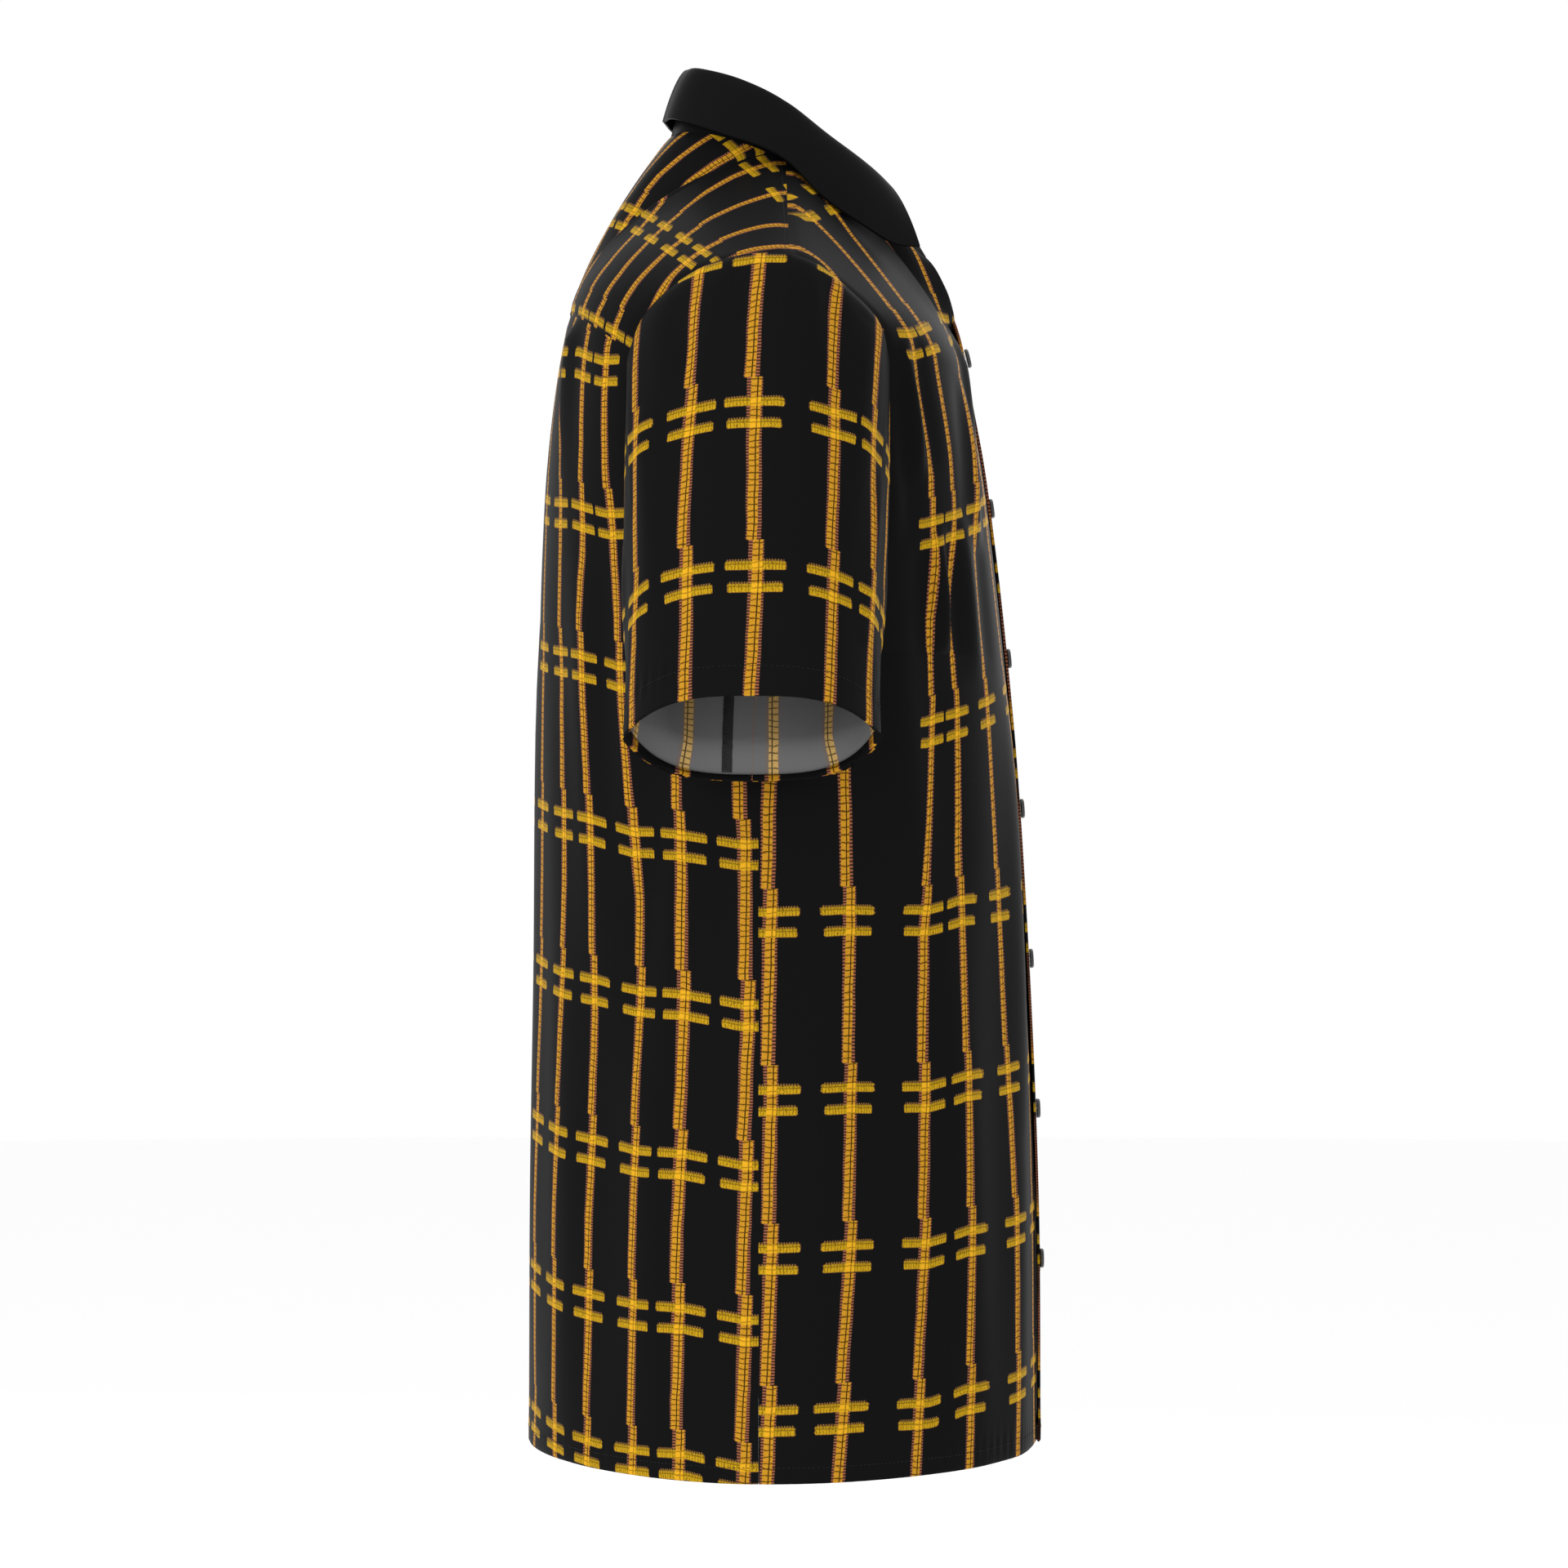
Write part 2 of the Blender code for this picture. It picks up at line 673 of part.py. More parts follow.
def button_mesh():
    segments = BUTTON_SIDES
    shape = bmesh.new()
    last = None
    for radius, height in button_profile():
        if radius == 0:
            ring = [shape.verts.new((0, 0, height))]
        else:
            angles = [2 * pi * i / segments for i in range(segments)]
            ring = [shape.verts.new((radius * np.cos(a), radius * np.sin(a), height)) for a in angles]
        if last is not None:
            for i in range(segments):
                k = (i + 1) % segments
                below = (last[i % len(last)], last[k % len(last)])
                above = (ring[k % len(ring)], ring[i % len(ring)])
                shape.faces.new(list(dict.fromkeys(below + above)))
        last = ring
    bmesh.ops.recalc_face_normals(shape, faces=shape.faces)
    mesh = bpy.data.meshes.new("button")
    shape.to_mesh(mesh)
    shape.free()
    return mesh


def hole_cutter():
    shape = bmesh.new()
    for x in (-BUTTON_HOLE_OFFSET, BUTTON_HOLE_OFFSET):
        for y in (-BUTTON_HOLE_OFFSET, BUTTON_HOLE_OFFSET):
            place = Matrix.Translation((x, y, 0))
            bmesh.ops.create_cone(
                shape,
                cap_ends=True,
                segments=HOLE_SIDES,
                radius1=BUTTON_HOLE,
                radius2=BUTTON_HOLE,
                depth=BUTTON_THICKNESS * 2,
                matrix=place,
            )
    mesh = bpy.data.meshes.new("button_holes")
    shape.to_mesh(mesh)
    shape.free()
    return mesh


def make_button(name, place, facing, mesh, holes, plastic):
    button = bpy.data.objects.new(name, mesh)
    cutter = bpy.data.objects.new(name + "_holes", holes)
    bpy.context.scene.collection.objects.link(button)
    bpy.context.scene.collection.objects.link(cutter)
    turn = Vector(facing).to_track_quat("Z", "Y").to_matrix().to_4x4()
    seat = BUTTON_THICKNESS / 2 + SEAM_GAP
    button.matrix_world = Matrix.Translation(Vector(place) + Vector(facing) * seat) @ turn
    cutter.matrix_world = button.matrix_world.copy()
    cutter.hide_render = True
    cutter.display_type = "WIRE"
    if not button.data.materials:
        button.data.materials.append(plastic)
    cut = button.modifiers.new("holes", "BOOLEAN")
    cut.object = cutter
    cut.operation = "DIFFERENCE"


def make_front_buttons(grid, normals, mesh, holes, plastic):
    for number in range(FRONT_BUTTONS):
        height = FIRST_BUTTON - BUTTON_SPACING * number
        centre = [int(np.argmin(np.abs(row[:, 0]))) for row in grid]
        line = np.array([row[j] for row, j in zip(grid, centre)])
        facing = np.array([row[j] for row, j in zip(normals, centre)])
        place = smooth(line[:, 2], line, height)
        place[0] = 0
        out = unit(smooth(line[:, 2], facing, height) * np.array([0, 1, 1]))
        make_button(f"button_front_{number + 1}", place, out, mesh, holes, plastic)


def make_collar_button(grid, normals, mesh, holes, plastic):
    column = int(round((1 - COLLAR_BUTTON_SHARE) * (COLLAR_COLUMNS - 1)))
    place = (grid[1, column] + grid[2, column]) / 2
    out = unit(normals[1, column] + normals[2, column])
    make_button("button_collar", place, out, mesh, holes, plastic)


def main():
    clear_scene()
    cloth = material("black_printed_cloth", BLACK_CLOTH, CLOTH_ROUGHNESS)
    plain = material("black_collar_cloth", BLACK_CLOTH, CLOTH_ROUGHNESS)
    plastic = material("black_button", BUTTON_BLACK, BUTTON_ROUGHNESS)
    make_front(-1, cloth)
    front, normals = make_front(1, cloth)
    make_back(cloth)
    make_yoke(cloth)
    make_sleeve(-1, cloth)
    make_sleeve(1, cloth)
    stand, stand_normals = make_stand(plain)
    make_leaf(plain)
    mesh = button_mesh()
    holes = hole_cutter()
    make_front_buttons(front, normals, mesh, holes, plastic)
    make_collar_button(stand, stand_normals, mesh, holes, plastic)


main()
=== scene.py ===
from math import radians

import bpy
import numpy as np
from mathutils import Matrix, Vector


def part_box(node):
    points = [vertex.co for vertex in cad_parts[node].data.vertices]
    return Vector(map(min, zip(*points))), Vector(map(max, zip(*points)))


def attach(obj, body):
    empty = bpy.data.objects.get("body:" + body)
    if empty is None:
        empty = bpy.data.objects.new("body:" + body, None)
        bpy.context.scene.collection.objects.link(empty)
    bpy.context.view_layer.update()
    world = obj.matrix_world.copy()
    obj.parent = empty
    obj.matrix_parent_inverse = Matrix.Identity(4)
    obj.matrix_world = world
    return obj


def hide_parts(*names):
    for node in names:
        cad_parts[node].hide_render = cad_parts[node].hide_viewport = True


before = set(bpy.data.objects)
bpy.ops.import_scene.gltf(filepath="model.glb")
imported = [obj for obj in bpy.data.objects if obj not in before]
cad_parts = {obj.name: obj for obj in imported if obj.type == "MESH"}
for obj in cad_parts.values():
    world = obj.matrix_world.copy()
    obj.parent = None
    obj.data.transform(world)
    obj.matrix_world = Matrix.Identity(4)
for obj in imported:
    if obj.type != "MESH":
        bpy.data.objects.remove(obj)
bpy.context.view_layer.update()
print("frame loaded:", len(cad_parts), "nodes")

# What a user may change about the cloth
cloth = {
    "thickness": 0.0008,
    "collarThickness": 0.0015,
    "hemFold": 0.01,
    "hemThickness": 0.0019,
    "sleeveHemFold": 0.018,
    "sleeveHemThickness": 0.0017,
    "seamGap": 0.00004,
    "seamSink": 0.0009,
    "seamSinkWidth": 0.004,
    "pucker": 0.00035,
    "puckerStep": 0.0085,
    "puckerWidth": 0.0065,
    "hemRows": 5,
    "foldShare": 0.3,
    "frontFold": 0.025,
    "frontFoldMore": 0.0006,
    "calm": 0.02,
    "frontCalm": 0.016,
}

body = {
    "hem": -0.74,
    "underarm": -0.285,
    "sideSeamY": 0.014,
    "buttonStand": 0.015,
    "frontLift": 0.0023,
    "liftFull": 0.02,
    "liftNone": 0.05,
    "openLift": 0.0004,
    "openRoll": 0.0034,
    "openLiftFrom": -0.125,
    "openLiftFull": -0.105,
    "rollUp": (-0.096, -0.078),
    "rollDown": (-0.074, -0.046),
    "rollAcross": (0.002, 0.03),
    "yokeRise": 0.0318,
    # height, front depth, back depth, half width, roundness in front, roundness behind
    "sections": (
        (-0.74, -0.1482, 0.15, 0.2095, 1.95, 1.75), (-0.6, -0.1472, 0.1498, 0.211, 1.95, 1.75),
        (-0.45, -0.1412, 0.1468, 0.213, 2, 1.8), (-0.35, -0.1348, 0.1452, 0.215, 2.1, 1.95),
        (-0.285, -0.1288, 0.1432, 0.216, 2.2, 2.15), (-0.225, -0.1222, 0.1412, 0.219, 2.3, 2.35),
        (-0.172, -0.1152, 0.138, 0.2265, 2.4, 2.5), (-0.118, -0.1054, 0.1312, 0.231, 2.4, 2.6),
        (-0.085, -0.101, 0.125, 0.233, 2.4, 2.6),
    ),
    # armhole seen from the side: depth, height
    "armholeFront": (
        (0.014, -0.285), (-0.0125, -0.2805), (-0.0365, -0.263), (-0.051, -0.227), (-0.0565, -0.174),
        (-0.0575, -0.118),
    ),
    "armholeBack": (
        (0.014, -0.285), (0.04, -0.2805), (0.064, -0.2635), (0.079, -0.2265), (0.085, -0.172),
        (0.0855, -0.1174),
    ),
    "armholeTopFront": (
        (0.2125, -0.0535, -0.104), (0.2245, -0.0325, -0.0825), (0.2315, -0.0175, -0.0715),
        (0.235, -0.003, -0.066),
    ),
    "armholeTopBack": (
        (0.209, 0.0795, -0.102), (0.2175, 0.062, -0.0835), (0.2265, 0.0379, -0.0705),
        (0.232, 0.018, -0.0665), (0.235, -0.003, -0.066),
    ),
    "neckBack": (
        (0, 0.066, 0.026), (0.04, 0.0565, 0.0235), (0.064, 0.031, 0.016), (0.0725, -0.001, 0.003),
    ),
    "neckFront": (
        (0.0725, -0.001, 0.003), (0.0715, -0.03, -0.013), (0.06, -0.059, -0.032),
        (0.03, -0.0815, -0.047),
    ),
    "shoulder": (
        (0.0725, -0.001, 0.003), (0.15, -0.002, -0.031), (0.235, -0.003, -0.066),
    ),
    "openEdge": (
        (-0.015, -0.1054, -0.118), (-0.014, -0.1012, -0.098), (-0.006, -0.0988, -0.088),
        (0.005, -0.096, -0.078), (0.016, -0.0922, -0.066), (0.025, -0.0872, -0.055),
        (0.03, -0.0815, -0.047),
    ),
    "neckShare": 0.37,
    "neckTurn": 0.75,
    "pullTurn": (0.2, 0.5),
    "rollReach": 3.0,
    "armholeReach": 6,
    "toNeckFront": (-0.4, 0.4, 0.75),
    "overShoulderFront": (0, 1, 0.1),
    "toNeckBack": (0, -0.62, 0.79),
    "overShoulderBack": (0, -1, -0.1),
    "pullsFront": (0.65, 0.7, 0.3),
    "pullsBack": (1.0, 1.0, 0.5),
    "yokeLead": 0.01,
    "hemSteps": (0, 0.0012, 0.004, 0.007),
    "foldSteps": (-0.0004, 0.0008, 0.005),
    "bodyRows": 84,
    "armholeRows": 40,
    "topRows": 36,
    "frontColumns": (44, 76),
    "backColumns": 124,
}

collar = {
    "standTop": (
        (0, 0.058, 0.057), (0.034, 0.049, 0.0535), (0.054, 0.025, 0.045), (0.0635, -0.001, 0.031),
        (0.0635, -0.026, 0.013), (0.055, -0.0505, -0.005), (0.0315, -0.066, -0.0215),
    ),
    "leafEdge": (
        (0, 0.0715, 0.0335), (0.042, 0.064, 0.03), (0.076, 0.038, 0.0185), (0.0945, 0, 0.0015),
        (0.102, -0.024, -0.0225), (0.1, -0.0475, -0.0385), (0.092, -0.0635, -0.047),
        (0.08, -0.078, -0.0475),
    ),
    "standTuck": 0.972,
    "leafEnd": 0.9,
    "rollHeight": 0.0115,
    "rollWidth": 0.0085,
    "leafSwell": 0.006,
    "leafSwellFrom": 0.3,
    "standTuckDown": 0.0025,
    "leafClearance": 0.0006,
    "columns": 97,
    "standRows": 15,
    "leafRows": 44,
    "leafEase": 1.15,
}

sleeve = {
    "hemMiddle": (0.2925, 0.017, -0.33),
    "halfAcross": 0.052,
    "halfDepth": 0.068,
    "slope": radians(66),
    "shoulderSlope": radians(31),
    "flare": 0.3,
    "pull": 0.6,
    "hemFlatness": 3.0,
    "hemPoint": 0.8,
    "clearance": 0.0006,
    "underFlare": 0.0075,
    "underFlareHeight": 0.022,
    "underFrom": (0.42, 0.85),
    "calmShare": 0.02,
    "calmFrom": 0.51,
    "foldSteps": (-0.005, -0.0008, 0.0004),
    "hemSteps": (0.009, 0.003, 0.0008, 0),
    "rows": 70,
}

pleat = {"x": 0.127, "depth": 0.0045, "steep": 0.006, "soft": 0.026, "length": 0.12, "start": 0.014}

# How finely curves are walked, and the shape of one crease: a ridge with a shallow trough on each side
detail = {"curve": 241, "row": 181}
creaseShape = {"fade": 0.75, "troughAt": 2.1, "troughWide": 1.1, "troughDeep": 0.42}


def unit(vectors):
    return vectors / np.maximum(np.linalg.norm(vectors, axis=-1, keepdims=True), 1e-12)


def smoothStep(low, high, value):
    share = np.clip((value - low) / (high - low), 0, 1)
    return share * share * (3 - 2 * share)


# A cubic from start to end that leaves and arrives with the given pulls
def cubic(start, end, leave, arrive, t):
    ends = start * (1 + 2 * t) * (1 - t) ** 2 + end * t * t * (3 - 2 * t)
    return ends + leave * t * (1 - t) ** 2 + arrive * t * t * (t - 1)


# A smooth curve through values given at knots
def smooth(knots, values, at):
    knots, values, at = (np.asarray(entry, float) for entry in (knots, values, at))
    slopes = np.gradient(values, knots, axis=0)
    index = np.clip(np.searchsorted(knots, at, side="right") - 1, 0, len(knots) - 2)
    step = knots[index + 1] - knots[index]
    t = (at - knots[index]) / step
    if values.ndim > 1:
        step, t = step[..., None], t[..., None]
    leave, arrive = slopes[index] * step, slopes[index + 1] * step
    return cubic(values[index], values[index + 1], leave, arrive, t)


# How far along a line each of its points lies, in metres
def lengthsOf(line):
    return np.insert(np.cumsum(np.linalg.norm(np.diff(line, axis=0), axis=1)), 0, 0)


def sharesOf(line):
    lengths = lengthsOf(line)
    return lengths / lengths[-1]


def pointsAt(at, lengths, line):
    return np.stack([np.interp(at, lengths, values) for values in line.T], axis=-1)


def evenly(line, shares):
    return pointsAt(shares, sharesOf(line), line)


def curve(points, shares):
    points = np.asarray(points, float)
    return evenly(smooth(sharesOf(points), points, np.linspace(0, 1, detail["curve"])), shares)


def bodySize(column, height):
    table = np.array(body["sections"])
    return smooth(table[:, 0], table[:, column], height)


# One row of a front or of the back's half, from its middle to the armhole's or side's edge
def bodyRow(isFront, edgeY, edgeHeight, rise, shares):
    column, roundColumn = (1, 4) if isFront else (2, 5)
    t = np.linspace(0, 1, detail["row"])
    height = edgeHeight + rise * (1 - t**2)
    depth = bodySize(column, height) - body["sideSeamY"]
    half = bodySize(3, height)
    roundness = bodySize(roundColumn, height)
    reach = np.clip((edgeY - body["sideSeamY"]) / depth[-1], 0, 1)
    last = np.arccos(reach ** (roundness[-1] / 2))
    overlap = body["buttonStand"] if isFront else 0
    first = np.arcsin((overlap / half[0]) ** (roundness[0] / 2))
    angle = -first + (last + first) * t
    across = np.sign(np.sin(angle)) * np.abs(np.sin(angle)) ** (2 / roundness)
    along = np.abs(np.cos(angle)) ** (2 / roundness)
    line = np.stack([half * across, body["sideSeamY"] + depth * along, height], axis=1)
    return evenly(line, shares)


def risingColumns(row, leaving, top, arriving, leavePull, arrivePull, steps):
    chord = np.linalg.norm(top - row, axis=1, keepdims=True)
    start = unit(leaving) * chord * leavePull
    end = unit(arriving) * chord * arrivePull
    return np.array([cubic(row, top, start, end, t) for t in steps])


def gridNormals(grid, closed=False):
    if closed:
        across = np.roll(grid, -1, axis=1) - np.roll(grid, 1, axis=1)
    else:
        across = np.gradient(grid, axis=1, edge_order=2)
    return unit(np.cross(across, np.gradient(grid, axis=0, edge_order=2)))


# How far a grid's points lie up its columns (axis 0) or along its rows (axis 1), in metres
def arcs(grid, axis):
    steps = np.linalg.norm(np.diff(grid, axis=axis), axis=2)
    return np.insert(np.cumsum(steps, axis=axis), 0, 0, axis=axis)


def hemRows():
    fold = body["hem"] + cloth["hemFold"]
    low = [body["hem"] + step for step in body["hemSteps"]] + [fold + step for step in body["foldSteps"]]
    return np.concatenate([low[:-1], np.linspace(low[-1], body["underarm"], body["bodyRows"])[:-1]])


def bodyRows(isFront, shares):
    rows = [bodyRow(isFront, body["sideSeamY"], height, 0, shares) for height in hemRows()]
    count = body["armholeRows"]
    table = body["armholeFront"] if isFront else body["armholeBack"]
    for step, (edgeY, edgeHeight) in enumerate(curve(table, np.linspace(0, 1, count + 1))):
        rise = 0 if isFront else body["yokeRise"] * (step / count) ** 2
        rows.append(bodyRow(isFront, edgeY, edgeHeight, rise, shares))
    return np.array(rows)


def frontShares():
    neck, out = body["frontColumns"]
    share = body["neckShare"]
    return np.concatenate([np.linspace(0, share, neck), np.linspace(share, 1, out)[1:]])


def topEdge(neck, shares):
    share = body["neckShare"]
    near = shares <= share
    shoulder = curve(body["shoulder"], (shares[~near] - share) / (1 - share))
    return np.concatenate([curve(neck, shares[near] / share), shoulder])


def arriving(shares, atNeck, atShoulder):
    share = smoothStep(body["neckShare"] * body["neckTurn"], body["neckShare"], shares)[:, None]
    return np.array(atNeck) * (1 - share) + np.array(atShoulder) * share


def pulls(table, shares):
    leave, atNeck, atShoulder = table
    share = smoothStep(*body["pullTurn"], shares)[:, None]
    return leave, atNeck * (1 - share) + atShoulder * share


def fitEdges(block, shares, steps, left, right):
    if left is not None:
        away = curve(left, steps) - block[:, 0]
        block = block + away[:, None] * ((1 - shares) ** body["rollReach"])[None, :, None]
    away = curve(right, steps) - block[:, -1]
    return block + away[:, None] * (shares ** body["armholeReach"])[None, :, None]


# The rows from a seam up to the neck and shoulder, and how its columns arrive there
def risingBlock(seam, leaving, end, openEdge, shares, steps):
    neck, toNeck, overShoulder = body["neck" + end], body["toNeck" + end], body["overShoulder" + end]
    top = topEdge(neck[::-1] if end == "Front" else neck, shares)
    run = arriving(shares, toNeck, overShoulder)
    leave, pull = pulls(body["pulls" + end], shares)
    block = risingColumns(seam, leaving, top, run, leave, pull, steps)
    armhole = np.concatenate([seam[-1:], body["armholeTop" + end]])
    return fitEdges(block, shares, steps, openEdge, armhole), run


# The shoulder seam's two sides share their normals
def seamNormals(grid, normals, run, shares):
    out = shares >= body["neckShare"]
    normals[-1, out] = unit(np.cross(np.gradient(grid[-1], axis=0), run))[out]
    return normals


def frontHalf(shares):
    rows = bodyRows(True, shares)
    steps = np.linspace(0, 1, body["topRows"] + 1)[1:]
    block, run = risingBlock(rows[-1], rows[-1] - rows[-2], "Front", body["openEdge"], shares, steps)
    grid = np.concatenate([rows, block])
    return grid, seamNormals(grid, gridNormals(grid), run, shares)


def yokeHalf(shares):
    edgeY, edgeHeight = body["armholeBack"][-1]
    seam = bodyRow(False, edgeY, edgeHeight, body["yokeRise"], shares)
    below = bodyRow(False, edgeY, edgeHeight - body["yokeLead"], body["yokeRise"], shares)
    steps = np.linspace(0, 1, body["topRows"] + 1)
    half, run = risingBlock(seam, seam - below, "Back", None, shares, steps)
    return half, -seamNormals(half, gridNormals(half), run, shares)


def bothSides(half):
    return np.concatenate([(half * np.array([-1, 1, 1]))[:, :0:-1], half], axis=1)


# The armhole's edge as a ring from the shoulder down the front and up the back
def armholeRing():
    shares = frontShares()
    front, frontOut = frontHalf(shares)
    yoke, yokeOut = yokeHalf(shares)
    back = bodyRows(False, shares)
    backOut = -gridNormals(back)
    underarm = len(hemRows())
    down, downOut = front[underarm:, -1][::-1], frontOut[underarm:, -1][::-1]
    up = np.concatenate([back[underarm:, -1], yoke[1:, -1]])
    upOut = np.concatenate([backOut[underarm:, -1], yokeOut[1:, -1]])
    ring = np.concatenate([down[:-1], up[:-1]])
    facing = np.concatenate([downOut[:-1], upOut[:-1]])
    return ring, facing, np.concatenate([sharesOf(down)[:-1], 1 + sharesOf(up)[:-1]]) * np.pi


def sleeveHemRing(angle):
    slope = sleeve["slope"]
    swell = np.clip(1 - np.abs(np.sin(angle)) ** sleeve["hemFlatness"], 0, 1) ** sleeve["hemPoint"]
    out = np.sign(np.cos(angle)) * swell * sleeve["halfAcross"]
    ring = np.array(sleeve["hemMiddle"]) + out[:, None] * np.array([np.sin(slope), 0, np.cos(slope)])
    ring[:, 1] -= np.sin(angle) * sleeve["halfDepth"]
    return ring


def downwards(slope):
    return np.array([np.cos(slope), 0, -np.sin(slope)])


def sleeveGrid():
    ring, facing, angles = armholeRing()
    hem = sleeveHemRing(angles)
    axis, over = downwards(sleeve["slope"]), downwards(sleeve["shoulderSlope"])
    share = smoothStep(body["underarm"], body["shoulder"][-1][2], ring[:, 2])[:, None]
    leaving = unit(axis * (1 - share) + over * share + facing * sleeve["flare"] * (1 - share))
    gap = cloth["seamGap"]
    start = ring + leaving * gap + facing * (sleeve["clearance"] - gap * share)
    length = np.linalg.norm(hem - start, axis=1).max()
    fold = 1 - cloth["sleeveHemFold"] / length
    lead, *foldSteps = np.array(sleeve["foldSteps"]) / length
    hemSteps = 1 - np.array(sleeve["hemSteps"]) / length
    steps = np.concatenate([np.linspace(0, fold + lead, sleeve["rows"]), fold + np.array(foldSteps), hemSteps])
    pull = sleeve["pull"]
    return risingColumns(start, leaving, hem, axis[None], pull, pull, steps), angles


# Soft creases along straight lines on the flat cloth: across and along are the flat places of the
# points, and each crease is (start across, start along, end across, end along, half width, rise, lean)
def creaseHeight(across, along, creases):
    total = np.zeros_like(across)
    for startA, startB, endA, endB, width, rise, lean in creases:
        run = np.array([endA - startA, endB - startB])
        length = np.linalg.norm(run)
        run = run / length
        t = ((across - startA) * run[0] + (along - startB) * run[1]) / length
        bow = lean * length * np.clip(t * (1 - t), 0, 1)
        away = (across - startA) * -run[1] + (along - startB) * run[0] - bow
        fade = np.clip(4 * t * (1 - t), 0, 1) ** creaseShape["fade"]
        beside = (np.abs(away) - creaseShape["troughAt"] * width) / (creaseShape["troughWide"] * width)
        trough = creaseShape["troughDeep"] * np.exp(-(beside**2))
        total += rise * fade * (np.exp(-((away / width) ** 2)) - trough)
    return total


# Seams lie a little deeper than the cloth beside them
def seamSink(grid, edges):
    up, over = arcs(grid, 0), arcs(grid, 1)
    away = {"bottom": up, "top": up[-1] - up, "left": over, "right": over[:, -1:] - over}
    near = np.min([away[edge] for edge in edges], axis=0)
    return cloth["seamSink"] * np.exp(-((near / cloth["seamSinkWidth"]) ** 2))


# Leaves half of a seam's gap at these edges
def pullIn(grid, edges):
    grid = grid.copy()
    lines = {"bottom": (grid[0], grid[1]), "top": (grid[-1], grid[-2])}
    lines |= {"left": (grid[:, 0], grid[:, 1]), "right": (grid[:, -1], grid[:, -2])}
    for edge in edges:
        line, beside = lines[edge]
        line += unit(beside - line) * cloth["seamGap"] / 2
    return grid


# A closed wall between an outer and an inner grid, with the places on the print as its UV map.
# A ring's places have one column more, so that its seam has a place on each side. insideSlot gives
# the material on the inner face of each cell, and within the inner faces' own places on the print.
def clothWall(name, outer, inner, places, materials, insideSlot, closed=False, flip=False, within=None):
    rows, columns = outer.shape[:2]
    last = columns if closed else columns - 1
    offset, wide = rows * columns, places.shape[1]
    i, j = (part.ravel() for part in np.meshgrid(np.arange(rows - 1), np.arange(last), indexing="ij"))
    count = len(i)

    def corners(cells):
        points = np.stack([r * columns + c % columns for r, c in cells], axis=1)
        return points, np.stack([r * wide + c for r, c in cells], axis=1)

    points, spots = corners(((i, j), (i, j + 1), (i + 1, j + 1), (i + 1, j)))
    faces, flat = [points, points[:, ::-1] + offset], [spots, spots[:, ::-1]]

    def addRim(cells, isFirst):
        points, spots = corners(cells)
        turn = slice(None, None, 1 if isFirst else -1)
        faces.append(np.concatenate([points, points[:, ::-1] + offset], axis=1)[:, turn])
        flat.append(np.concatenate([spots, spots[:, ::-1]], axis=1)[:, turn])

    across, up = np.arange(last), np.arange(rows - 1)
    for row in (0, rows - 1):
        addRim(((row, across + 1), (row, across)), row == 0)
    for column in () if closed else (0, columns - 1):
        addRim(((up, column), (up + 1, column)), column == 0)
    faces, flat = np.concatenate(faces), np.concatenate(flat)
    if flip:
        faces, flat = faces[:, ::-1], flat[:, ::-1]
    mesh = bpy.data.meshes.new(name)
    points = np.concatenate([outer.reshape(-1, 3), inner.reshape(-1, 3)])
    mesh.from_pydata(points.tolist(), [], faces.tolist())
    layer = mesh.uv_layers.new(name="print")
    uv = places.reshape(-1, 2)[flat]
    if within is not None:
        uv[count:2 * count] = within.reshape(-1, 2)[flat[count:2 * count]]
    layer.data.foreach_set("uv", uv.astype(np.float32).ravel())
    for entry in materials:
        mesh.materials.append(entry)
    slots = np.zeros(len(faces), np.int32)
    slots[count:2 * count] = np.asarray(insideSlot).ravel()
    mesh.polygons.foreach_set("material_index", slots)
    mesh.polygons.foreach_set("use_smooth", np.ones(len(faces), bool))
    # every face has four corners and the rims come last: their thin edges stay crisp
    edges = np.empty(len(mesh.loops), np.int32)
    mesh.loops.foreach_get("edge_index", edges)
    sharp = np.zeros(len(mesh.edges), bool)
    sharp[edges[4 * 2 * count:]] = True
    mesh.edges.foreach_set("use_edge_sharp", sharp)
    mesh.update()
    obj = bpy.data.objects.new(name, mesh)
    bpy.context.scene.collection.objects.link(obj)
    return obj


